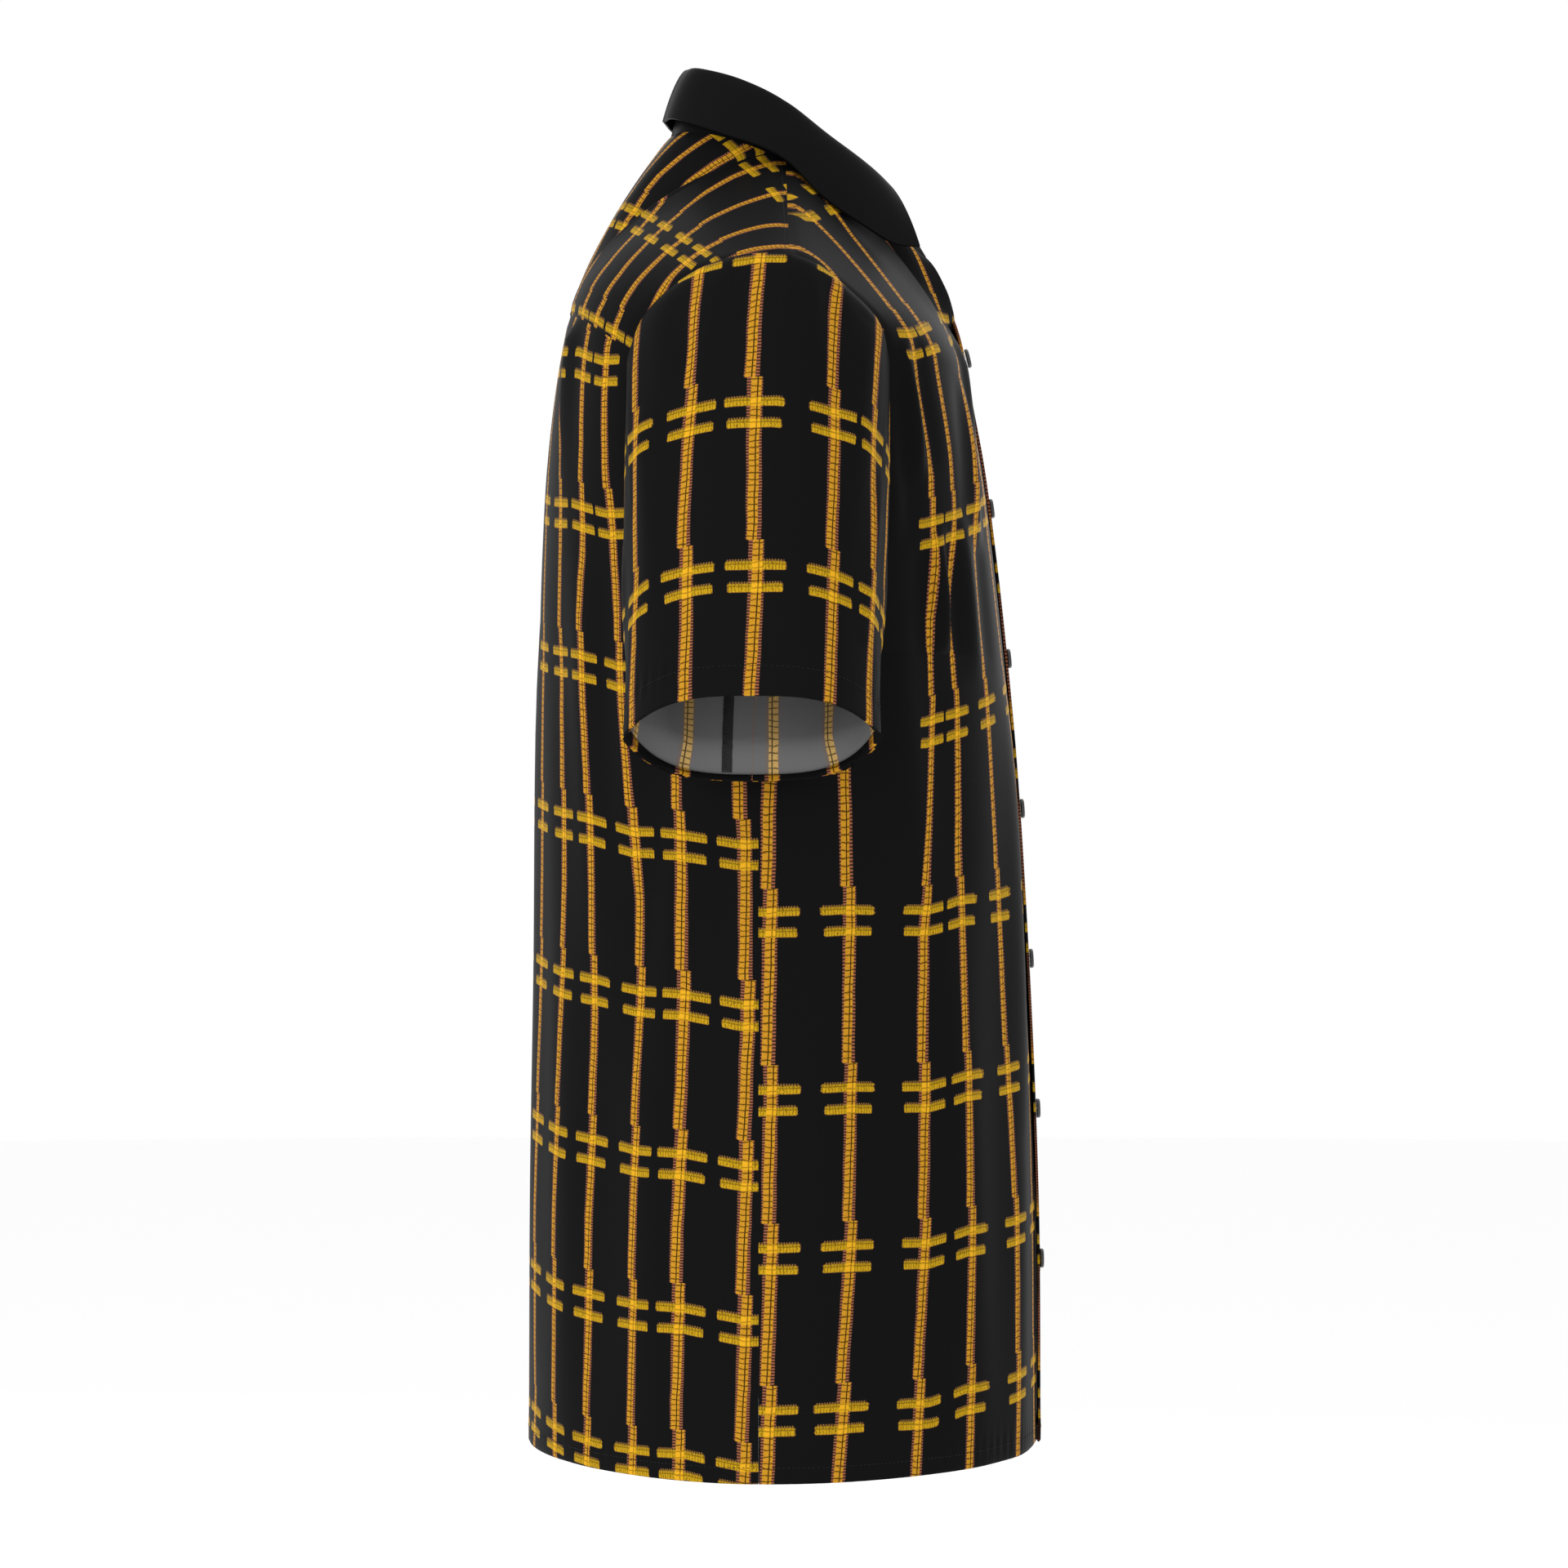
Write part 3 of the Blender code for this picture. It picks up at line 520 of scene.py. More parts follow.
# The print: where its stripes lie on each panel, in metres from the panel's own centre line at the
# heights given. The places were read from the photo, corrected by where gold crosses some of
# its rows and columns, and rounded. Similar places serve the hidden side.
printChart = {
    "pitch": 0.04,
    "period": 0.088,
    "zone": 0.01575,
    "zoneMost": 0.47,
    "barZone": (-0.019, 0.016),
    "chest": (-0.45, -0.34),
    "backLow": (-0.37, 0.33),
    "otherFrontSlope": 0.02,
    # fronts: places from the front edge, at these heights, the outermost stripe first
    "frontLevels": (
        -0.74, -0.6, -0.436, -0.309, -0.264, -0.218, -0.168, -0.12, -0.1, -0.084, -0.065, -0.045, -0.022,
    ),
    "front": (
        (0.302, 0.301, 0.3, 0.3, 0.29, 0.28, 0.275, 0.285, 0.3, 0.315, 0.325, 0.325, 0.32),
        (0.262, 0.256, 0.255, 0.258, 0.254, 0.246, 0.245, 0.246, 0.25, 0.262, 0.275, 0.272, 0.27),
        (0.21, 0.203, 0.203, 0.188, 0.188, 0.187, 0.19, 0.195, 0.204, 0.203, 0.203, 0.201, 0.193),
        (0.165, 0.166, 0.169, 0.173, 0.176, 0.167, 0.168, 0.172, 0.172, 0.167, 0.16, 0.152, 0.135),
        (0.102, 0.103, 0.113, 0.124, 0.131, 0.13, 0.118, 0.11, 0.093, 0.066, 0.057, 0.062, 0.07),
        (0.046, 0.048, 0.052, 0.06, 0.072, 0.08, 0.072, 0.058, 0.044, 0.032, 0.026, 0.022, 0.014),
        (0.002, 0.004, 0.008, 0.014, 0.022, 0.028, 0.022, 0.012, 0, -0.01, -0.016, -0.02, -0.026),
    ),
    "frontBars": (-0.695, -0.606, -0.519, -0.421, -0.317, -0.207, -0.102, -0.0228),
    "chestRise": ((0.05, 0.115, 0.17, 0.2, 0.255, 0.3), (0.018, 0.0095, 0.001, -0.0045, -0.007, -0.009)),
    "frontRise": ((0.05, 0.115, 0.17, 0.2, 0.255, 0.3), (0.0045, 0.0005, 0, -0.005, -0.0035, -0.0045)),
    "otherFront": (0.004, 0.049, 0.084, 0.131, 0.166, 0.214, 0.249, 0.296),
    "otherFrontBars": (-0.712, -0.622, -0.533, -0.44, -0.338, -0.23, -0.122, -0.04),
    # back and yoke: places from the centre line to the wearer's right, then the other side
    "backLevels": (-0.74, -0.6, -0.412, -0.309, -0.262, -0.215, -0.165, -0.118),
    "back": (
        (0.004, 0.006, 0.012, 0.016, 0.018, 0.022, 0.024, 0.02),
        (0.044, 0.048, 0.06, 0.065, 0.068, 0.074, 0.078, 0.072),
        (0.094, 0.097, 0.111, 0.112, 0.115, 0.124, 0.13, 0.12),
        (0.138, 0.14, 0.1495, 0.151, 0.153, 0.162, 0.1675, 0.162),
        (0.184, 0.1865, 0.1925, 0.19, 0.192, 0.1925, 0.191, 0.1915),
        (0.2195, 0.2215, 0.2275, 0.227, 0.228, 0.23, 0.23, 0.23),
        (0.259, 0.261, 0.264, 0.264, 0.264, 0.264, 0.264, 0.264),
    ),
    "otherBack": (-0.262, -0.232, -0.197, -0.155, -0.119, -0.078, -0.04),
    "backBars": (-0.7243, -0.6433, -0.5583, -0.4703, -0.3821, -0.2905, -0.206, -0.1215),
    "backRise": ((0.04, 0.112, 0.15, 0.19, 0.225, 0.26), (0.0165, 0.01, 0.0075, 0.0, -0.001, -0.0065)),
    "backRiseLow": ((0.04, 0.112, 0.15, 0.19, 0.225, 0.26), (0.0075, 0.001, -0.0015, -0.0015, -0.001, -0.0065)),
    "yokeLevels": (0, 0.125, 0.25, 0.375, 0.5, 0.625, 0.75, 0.875, 1),
    "yoke": (
        (0.01, 0.006, 0.002, 0, -0.002, -0.002, 0, 0.004, 0.008),
        (0.052, 0.046, 0.038, 0.03, 0.024, 0.023, 0.024, 0.034, 0.045),
        (0.094, 0.086, 0.074, 0.06, 0.049, 0.048, 0.05, 0.055, 0.062),
        (0.142, 0.138, 0.128, 0.11, 0.09, 0.074, 0.073, 0.079, 0.09),
        (0.172, 0.174, 0.168, 0.156, 0.138, 0.122, 0.118, 0.117, 0.116),
        (0.198, 0.2, 0.199, 0.196, 0.19, 0.179, 0.176, 0.174, 0.173),
        (0.222, 0.224, 0.227, 0.228, 0.229, 0.229, 0.23, 0.232, 0.237),
        (0.258, 0.262, 0.265, 0.266, 0.267, 0.268, 0.27, 0.274, 0.278),
    ),
    "otherYoke": (-0.27, -0.238, -0.203, -0.161, -0.125, -0.084, -0.046),
    "yokeBars": (0.004, 0.074, 0.15),
    # sleeves: places from the shoulder line round to the front, at these heights of that line
    "sleeveLevels": (-0.3035, -0.2687, -0.2166, -0.182, -0.136, -0.0907),
    "sleeve": (
        (-0.245, -0.245, -0.25, -0.254, -0.257, -0.257),
        (-0.206, -0.206, -0.21, -0.214, -0.217, -0.217),
        (-0.168, -0.168, -0.172, -0.175, -0.178, -0.178),
        (-0.128, -0.128, -0.132, -0.136, -0.139, -0.139),
        (-0.0805, -0.083, -0.085, -0.0899, -0.094, -0.1),
        (-0.0355, -0.0377, -0.0444, -0.0477, -0.0503, -0.0525),
        (0.0004, -0.0004, -0.0047, -0.0089, -0.0138, -0.0168),
        (0.044, 0.0427, 0.0399, 0.0376, 0.0338, 0.0312),
        (0.078, 0.077, 0.076, 0.0738, 0.067, 0.065), (0.115, 0.115, 0.113, 0.111, 0.11, 0.11),
        (0.15, 0.15, 0.148, 0.147, 0.146, 0.146), (0.19, 0.19, 0.19, 0.19, 0.19, 0.19),
        (0.226, 0.226, 0.226, 0.226, 0.226, 0.226), (0.262, 0.262, 0.262, 0.262, 0.262, 0.262),
    ),
    # inside a sleeve these stripes show through, and those beside the seam at these distances from it
    "sleeveThrough": (4, 9),
    "underBack": (0.0372, 0.078, 0.11),
    "underFront": (0.08, 0.0415, 0.0103),
    "sleeveBars": (-0.2399, -0.151, -0.0585),
}


# Where points lie on the print, across the stripes. Near a stripe the print keeps its size, and the
# plain cloth between two stripes takes up the difference. Each point has its own list of stripes.
def acrossPrint(places, centres):
    zone, most = printChart["zone"], printChart["zoneMost"]
    gaps = np.diff(centres, axis=-1)
    ends = np.full(gaps.shape[:-1] + (1,), 0.1)
    left = np.minimum(zone, most * np.concatenate([ends, gaps], axis=-1))
    right = np.minimum(zone, most * np.concatenate([gaps, ends], axis=-1))
    knots = np.stack([centres - left, centres + right], axis=-1).reshape(centres.shape[:-1] + (-1,))
    count = np.arange(centres.shape[-1]) * printChart["pitch"]
    values = np.stack([count - zone, count + zone], axis=-1).ravel()
    index = np.sum(knots <= places[..., None], axis=-1)
    low = np.clip(index - 1, 0, knots.shape[-1] - 2)
    start, end = (np.take_along_axis(knots, (low + k)[..., None], axis=-1)[..., 0] for k in (0, 1))
    share = (places - start) / np.maximum(end - start, 1e-6)
    inside = values[low] + np.clip(share, 0, 1) * (values[low + 1] - values[low])
    return inside + np.minimum(places - knots[..., 0], 0) + np.maximum(places - knots[..., -1], 0)


def stripesAt(name, at):
    return np.stack([np.interp(at, printChart[name + "Levels"], line) for line in printChart[name]], axis=-1)


# The stripes of a whole panel: the chart's on the wearer's right, and fixed places on the other side
def allStripesAt(name, at):
    other = np.array(printChart["other" + name.title()])
    return np.concatenate([np.broadcast_to(other, at.shape + other.shape), stripesAt(name, at)], axis=2)


# Heights of the upper bars to places along the print. Each pair of bars keeps its size, and the long
# dashes between the pairs are as long as they have to be.
def alongPrint(name, at):
    knots = [height + step for height in printChart[name] for step in printChart["barZone"]]
    count = np.arange(len(knots) // 2)[:, None] * printChart["period"]
    inside = np.interp(at, knots, (count + np.array(printChart["barZone"])).ravel())
    return inside + np.minimum(at - knots[0], 0) + np.maximum(at - knots[-1], 0)


# How far above its height in the chart a bar lies, blended from one list of rises to another
def barRise(first, second, at, share):
    return np.interp(at, *printChart[first]) * (1 - share) + np.interp(at, *printChart[second]) * share


print("shapes and print chart ready")


# Materials and node trees
def linear(hexColour):
    parts = [int(hexColour[i:i + 2], 16) / 255 for i in (0, 2, 4)]
    return tuple(c / 12.92 if c < 0.04045 else ((c + 0.055) / 1.055) ** 2.4 for c in parts) + (1,)


# A socket of a node tree, reckoned with like a number
class Value:
    def __init__(self, tree, socket):
        self.tree, self.socket = tree, socket

    def math(self, operation, *others):
        return newNode(self.tree, "ShaderNodeMath", dict(enumerate((self, *others))), operation=operation)

    def __add__(self, other):
        return self.math("ADD", other)

    def __sub__(self, other):
        return self.math("SUBTRACT", other)

    def __rsub__(self, other):
        return newNode(self.tree, "ShaderNodeMath", {0: other, 1: self}, operation="SUBTRACT")

    def __mul__(self, other):
        return self.math("MULTIPLY", other)


def put(socket, value):
    if isinstance(value, Value):
        value.tree.links.new(value.socket, socket)
    else:
        socket.default_value = value


# Adds a node with its settings and inputs, and gives one of its outputs
def newNode(tree, kind, inputs, output=0, **settings):
    node = tree.nodes.new(kind)
    for name, value in settings.items():
        setattr(node, name, value)
    for key, value in inputs.items():
        put(node.inputs[key], value)
    return Value(tree, node.outputs[output])


def rescale(value, low, high, toLow, toHigh, **settings):
    ends = {"Value": value, "From Min": low, "From Max": high, "To Min": toLow, "To Max": toHigh}
    return newNode(value.tree, "ShaderNodeMapRange", ends, "Result", **settings)


# 1 inside a band of the given half width round zero, with soft edges
def band(away, half, soft):
    return rescale(away.math("ABSOLUTE"), half - soft, half + soft, 1, 0, interpolation_type="SMOOTHSTEP")


def mix(share, first, second):
    return newNode(share.tree, "ShaderNodeMix", {0: share, 6: first, 7: second}, 2, data_type="RGBA")


def combine(x, y, z):
    return newNode(x.tree, "ShaderNodeCombineXYZ", {0: x, 1: y, 2: z})


def noise(place, scale, detail=2.0):
    inputs = {"Vector": place, "Scale": scale, "Detail": detail}
    return newNode(place.tree, "ShaderNodeTexNoise", inputs, "Fac")


# Dots along a line, one for each length in millimetres
def dotted(along, length, low, high, faint):
    return rescale((along * (2 * np.pi / length)).math("SINE"), low, high, faint, 1)


# Sizes of the print in millimetres, seen with the right side up, and its colours
stripes = {
    "coreHalf": 2.75,
    "coreSwing": 1.75,
    "bandHalf": 4.15,
    "bandSwing": 0.9,
    "beads": 1.6,
    "joint": 13.7,
    "barGap": 11.9,
    "barShift": 0.4,
    "upperHalf": 16.1,
    "lowerHalf": 14.8,
    "barHalf": 2.35,
    "barCorner": 0.9,
    "barDots": 1.5,
    "wobble": 0.7,
    "core": "C08E26",
    "coreSpot": "AC651C",
    "bar": "BE951A",
    "barLow": "99781A",
    "crossing": "DBA322",
    "margin": "965C42",
    "line": "120D05",
    "fringe": "8A6E28",
}
paleInks = {"core": "D8B26A", "coreSpot": "BC9050", "bar": "CBAE60", "barLow": "AF9550"}
paleInks |= {"crossing": "E0BC74", "margin": "7E6A5C"}

shirtCloth = {
    "black": (0.0064, 0.0064, 0.0067, 1),
    "wrongSide": (0.165, 0.165, 0.169, 1),
    "allowance": (0.030, 0.030, 0.031, 1),
    "roughness": 0.40,
    "sheen": 0.003,
    "sheenRoughness": 0.40,
    "sheenTint": (0.85, 0.87, 0.92, 1),
    "specular": 0.006,
    "weaveBump": 0.10,
    "weaveDepth": 0.0002,
    "showThrough": 0.9,
}


# Colour of the print at each point, and how much of the black ground it covers
def printColour(tree, paint):
    inks = {name: linear(value) for name, value in paint.items() if isinstance(value, str)}
    uv = newNode(tree, "ShaderNodeUVMap", {}, uv_map="print")
    wide, high = (newNode(tree, "ShaderNodeSeparateXYZ", {0: uv}, axis) * 1000 for axis in (0, 1))
    place = combine(wide, high, 0)
    waver = (noise(place, 0.05) - 0.5) * (2 * stripes["wobble"])
    rough = (noise(place, 0.9) - 0.5) * 0.5
    pitch, period = printChart["pitch"] * 1000, printChart["period"] * 1000
    away = wide.math("WRAP", pitch / 2, -pitch / 2) + waver
    number = wide.math("DIVIDE", pitch).math("ROUND")
    down = (stripes["joint"] - (high + rough)).math("WRAP", period, 0)
    swing = 1 - down.math("DIVIDE", period) * 2
    coreAway = away - swing * stripes["coreSwing"]
    core = band(coreAway + rough * 0.5, stripes["coreHalf"], 0.3)
    margin = band(away - swing * stripes["bandSwing"], stripes["bandHalf"], 0.35)
    margin = margin * dotted(high, stripes["beads"], -0.4, 0.6, 0.12)
    bars, fringe, barLine, barTone = printBars(away, down + waver * 0.8, number, rough)
    # thin dark lines: rungs and a rail on the stripes, posts on the bars
    rung = band((high + noise(place, 0.12) * 3).math("WRAP", 1.7, -1.7), 0.34, 0.16)
    rail = band(coreAway - 0.8, 0.36, 0.16)
    lines = (rung * 0.85).math("MAXIMUM", rail) * core
    post = band((away + noise(place, 0.5) * 3).math("WRAP", 0.9, -0.9), 0.24, 0.14)
    spots = rescale(noise(place, 1.1, 3), 0.45, 0.68, 0, 0.85)
    coreColour = mix(lines * 0.92, mix(spots, inks["core"], inks["coreSpot"]), inks["line"])
    barColour = mix((spots * 0.6).math("MAXIMUM", barTone), inks["bar"], inks["barLow"])
    barColour = mix((post * 0.62).math("MAXIMUM", barLine * 0.55), barColour, inks["line"])
    crossing = mix(lines * 0.6, inks["crossing"], inks["line"])
    colour = mix(bars, mix(core, inks["margin"], coreColour), barColour)
    colour = mix(core * bars, colour, crossing)
    gold = core.math("MAXIMUM", bars)
    fringe = fringe * (1 - gold)
    cover = gold.math("MAXIMUM", margin.math("MAXIMUM", fringe))
    return mix(fringe, colour, inks["fringe"]), cover, place


# Each pair of bars, the dots above each bar, the dark line along it and its duller lower half
def printBars(away, down, number, rough):
    place = combine(number, 3.7, 0)
    chance = newNode(away.tree, "ShaderNodeTexWhiteNoise", {"Vector": place}, "Value", noise_dimensions="3D")
    across = away - stripes["barShift"] + (chance - 0.5) * 1.6
    joint, corner = stripes["joint"], stripes["barCorner"]
    pair = []
    for step, half in ((joint, stripes["upperHalf"]), (joint + stripes["barGap"], stripes["lowerHalf"])):
        over = down - step
        long = (across.math("ABSOLUTE") - (half - corner) + rough * 2.2).math("MAXIMUM", 0)
        tall = (over.math("ABSOLUTE") - (stripes["barHalf"] - corner)).math("MAXIMUM", 0)
        bar = band((long * long + tall * tall).math("SQRT") + rough * 0.5, corner, 0.35)
        top = band(over + (stripes["barHalf"] + 0.35), 0.6, 0.25) * band(across, half - 1, 0.4)
        top = top * dotted(away, stripes["barDots"], -0.2, 0.8, 0.1)
        pair.append((bar, top, band(over + 0.75, 0.30, 0.16), bar * rescale(over, -2.4, 0.2, 0.9, 0)))
    return [upper.math("MAXIMUM", lower) for upper, lower in zip(*pair)]


def setShader(made, inputs):
    for key, value in inputs.items():
        put(made.node_tree.nodes["Principled BSDF"].inputs[key], value)
    return made


def newMaterial(name, inputs):
    made = bpy.data.materials.new(name)
    made.use_nodes = True
    return setShader(made, inputs)


def clothSurface(made, colour, place):
    weave = {"Strength": shirtCloth["weaveBump"], "Distance": shirtCloth["weaveDepth"]}
    weave["Height"] = noise(place, 2.2, 4)
    return setShader(made, {
        "Base Color": colour,
        "Roughness": shirtCloth["roughness"],
        "Specular IOR Level": shirtCloth["specular"],
        "Sheen Weight": shirtCloth["sheen"],
        "Sheen Roughness": shirtCloth["sheenRoughness"],
        "Sheen Tint": shirtCloth["sheenTint"],
        "Normal": newNode(made.node_tree, "ShaderNodeBump", weave),
    })


def printedCloth(name, paint, ground, strength):
    made = newMaterial(name, {})
    colour, cover, place = printColour(made.node_tree, paint)
    return clothSurface(made, mix(cover * strength, ground, colour), place)


def plainCloth(name, colour):
    made = newMaterial(name, {})
    where = newNode(made.node_tree, "ShaderNodeTexCoord", {}, "Object")
    place = newNode(made.node_tree, "ShaderNodeMapping", {"Vector": where, "Scale": (1000, 1000, 1000)})
    return clothSurface(made, colour, place)


def sewingThread(name, grey):
    look = {"Base Color": (grey, grey, grey, 1), "Roughness": 0.6, "Specular IOR Level": 0.2}
    return newMaterial(name, look)


# The wrong side is greyer, and the print shows through it paler
rightSide = printedCloth("blackPrintedPolyester", stripes, shirtCloth["black"], 1)
paleStripes = stripes | paleInks
wrongSide = printedCloth("clothWrongSide", paleStripes, shirtCloth["wrongSide"], shirtCloth["showThrough"])
plainBlack = plainCloth("blackPlainPolyester", shirtCloth["black"])
seamCloth = plainCloth("seamAllowance", shirtCloth["allowance"])
buttonLook = {"Base Color": (0.010, 0.010, 0.011, 1), "Roughness": 0.22}
buttonLook |= {"Coat Weight": 0.3, "Coat Roughness": 0.12}
buttonPlastic = newMaterial("blackButtonPlastic", buttonLook)
thread = sewingThread("blackSewingThread", 0.010)
seamThread = sewingThread("greySeamThread", 0.055)
print("materials ready")


# Creases given one by one on the flat cloth, in metres: start across and up, end across and up, half width,
# rise (a ridge, or a trough where it is negative) and lean. Up is the height for the hanging cloth.
frontCreases = (
    (0.236, -0.098, 0.226, -0.19, 0.0085, 0.0042, 0.05),
    (0.212, -0.074, 0.205, -0.156, 0.0085, 0.0058, 0.05),
    (0.186, -0.186, 0.181, -0.275, 0.0085, 0.0062, -0.04),
    (0.15, -0.18, 0.14, -0.3, 0.013, 0.003, 0.04), (0.105, -0.11, 0.122, -0.21, 0.012, 0.003, 0.06),
    (0.055, -0.07, 0.075, -0.15, 0.01, 0.0028, 0.08),
    (0.225, -0.23, 0.205, -0.43, 0.014, 0.003, 0.05),
    (0.06, -0.3, 0.08, -0.56, 0.022, 0.0025, 0.02), (0.185, -0.4, 0.15, -0.76, 0.024, 0.003, -0.02),
    (0.26, -0.36, 0.27, -0.76, 0.022, 0.0026, 0.02), (0.09, -0.52, 0.1, -0.77, 0.022, 0.0024, 0.02),
)
otherFrontCreases = (
    (0.16, -0.18, 0.175, -0.31, 0.014, 0.0045, 0.03),
    (0.11, -0.19, 0.095, -0.34, 0.017, 0.003, -0.04),
    (0.08, -0.105, 0.13, -0.215, 0.012, 0.0032, 0.05),
    (0.23, -0.24, 0.21, -0.43, 0.015, 0.003, 0.05), (0.07, -0.33, 0.085, -0.6, 0.022, 0.0025, 0.02),
    (0.185, -0.39, 0.16, -0.745, 0.026, 0.003, -0.02),
    (0.262, -0.37, 0.255, -0.74, 0.023, 0.0026, 0.02),
)
# back: negative across is the wearer's right
backCreases = (
    (-0.215, -0.17, -0.19, -0.42, 0.014, 0.004, 0.05),
    (-0.245, -0.26, -0.215, -0.52, 0.014, 0.0034, 0.03),
    (-0.16, -0.2, -0.15, -0.48, 0.02, 0.0026, 0.02), (-0.1, -0.3, -0.11, -0.74, 0.028, 0.003, 0.02),
    (-0.21, -0.48, -0.2, -0.745, 0.026, 0.003, -0.02),
    (-0.03, -0.26, -0.04, -0.7, 0.03, 0.0026, 0.02),
    (0.05, -0.33, 0.04, -0.745, 0.028, 0.0028, -0.02),
    (0.12, -0.24, 0.125, -0.7, 0.026, 0.0028, 0.02),
    (0.205, -0.18, 0.185, -0.43, 0.014, 0.004, -0.05),
    (0.24, -0.27, 0.21, -0.54, 0.015, 0.0032, -0.03),
    (0.205, -0.5, 0.215, -0.745, 0.025, 0.003, 0.02),
)


# sleeves: across is the place from the shoulder line round to the front, up the distance from the hem
sleeveCreases = (
    (-0.03, 0.262, -0.024, 0.185, 0.007, -0.0022, 0.05),
    (0.026, 0.262, 0.03, 0.2, 0.0065, -0.0018, -0.05),
    (-0.066, 0.245, -0.054, 0.17, 0.008, -0.0018, 0.05),
    (0.056, 0.235, 0.05, 0.15, 0.0085, 0.0016, -0.04),
    (-0.09, 0.18, -0.06, 0.06, 0.012, 0.0018, 0.06), (0.085, 0.15, 0.07, 0.04, 0.01, 0.0016, -0.06),
    (-0.085, 0.06, -0.045, 0.04, 0.005, 0.0008, 0.08),
    (0.01, 0.11, 0.02, 0.02, 0.015, 0.0012, 0.04), (-0.14, 0.12, -0.125, 0.01, 0.012, 0.002, 0.04),
    (0.14, 0.11, 0.125, 0.01, 0.012, 0.002, -0.04),
)


# Small puckers along a line of stitches: slow waves make them uneven
def puckers(along, away):
    wave = np.sin(along * 2 * np.pi / cloth["puckerStep"] + 2.1 * np.sin(along * 23) + 1.7 * np.sin(along * 61))
    strength = 0.35 + 0.65 * np.sin(along * 17 + 0.6) ** 2
    return cloth["pucker"] * wave * strength * np.exp(-((away / cloth["puckerWidth"]) ** 2))


def areaOf(grid):
    one = grid[1:, 1:] - grid[:-1, :-1]
    two = grid[1:, :-1] - grid[:-1, 1:]
    return np.linalg.norm(np.cross(one, two), axis=2).sum() / 2


# A dressed panel as its object, outer grid and normals. A hem's rows are double, with the right side
# inside, and the wall thins at the round fold, which is the row with the number edge.
def panel(name, outer, facing, u, v, flip, side=1, hem=None, hemThickness=0, edge=0,
          more=0, folded=None, inward=None, closed=False, innerU=None):
    thickness = np.full(outer.shape[:2], cloth["thickness"])
    inside = np.ones((len(outer) - 1, outer.shape[1] - (not closed)), int)
    if folded is not None:
        inside[:, folded] = 0
    if hem is not None:
        thickness[hem] = hemThickness
        inside[hem] = 0
    inner = outer - (facing if inward is None else inward) * (thickness + more)[:, :, None]
    if hem is not None:
        middle = (outer[edge] + inner[edge]) / 2
        for skin in (outer, inner):
            skin[edge] = middle + (skin[edge] - middle) * cloth["foldShare"]
    turn = np.array([side, 1, 1])
    within = None if innerU is None else np.stack([innerU, v], axis=2)
    places, materials = np.stack([u, v], axis=2), (rightSide, wrongSide)
    made = clothWall(name, outer * turn, inner * turn, places, materials, inside, closed, flip, within)
    return made, outer * turn, facing * turn


bodyHem = {"hem": slice(cloth["hemRows"]), "hemThickness": cloth["hemThickness"]}
sleeveHem = {"hem": slice(-cloth["hemRows"], None), "hemThickness": cloth["sleeveHemThickness"], "edge": -1}


def frontPanel(side):
    grid, normals = frontHalf(frontShares())
    height = grid[:, :, 2]
    across, up = arcs(grid, 1), body["hem"] + arcs(grid, 0)
    calm = smoothStep(0, cloth["calm"], across[:, -1:] - across)
    calm = calm * smoothStep(0, cloth["frontCalm"], up[-1:] - up)
    creases = otherFrontCreases if side > 0 else frontCreases
    lift = creaseHeight(across, up, creases) * calm - seamSink(grid, ("top", "right"))
    if side > 0:
        more = body["openLift"] * smoothStep(body["openLiftFrom"], body["openLiftFull"], height)
        near = 1 - smoothStep(body["liftFull"], body["liftNone"], grid[:, :, 0])
        lift += (body["frontLift"] + more) * near
        wide = np.array(printChart["otherFront"])
        u = acrossPrint(across, np.broadcast_to(wide, across.shape + wide.shape))
        v = alongPrint("otherFrontBars", height - printChart["otherFrontSlope"] * across)
    else:
        rolled = smoothStep(*body["rollUp"], height) * (1 - smoothStep(*body["rollDown"], height))
        lift += body["openRoll"] * rolled * (1 - smoothStep(*body["rollAcross"], across))
        u = acrossPrint(-across, -stripesAt("front", height))
        chest = smoothStep(*printChart["chest"], height)
        v = alongPrint("frontBars", height - barRise("frontRise", "chestRise", across, chest))
    lift += puckers(across + side, up - body["hem"] - cloth["hemFold"])
    outer = pullIn(grid + normals * lift[:, :, None], ("top", "right"))
    fold = cloth["frontFold"]
    more = cloth["frontFoldMore"] * (1 - smoothStep(fold - 0.001, fold + 0.001, across))
    folded = across[len(grid) // 3, :-1] < fold
    name = "leftFrontCloth" if side > 0 else "rightFrontCloth"
    return panel(name, outer, gridNormals(outer), u, v, side < 0, side, more=more, folded=folded, **bodyHem)


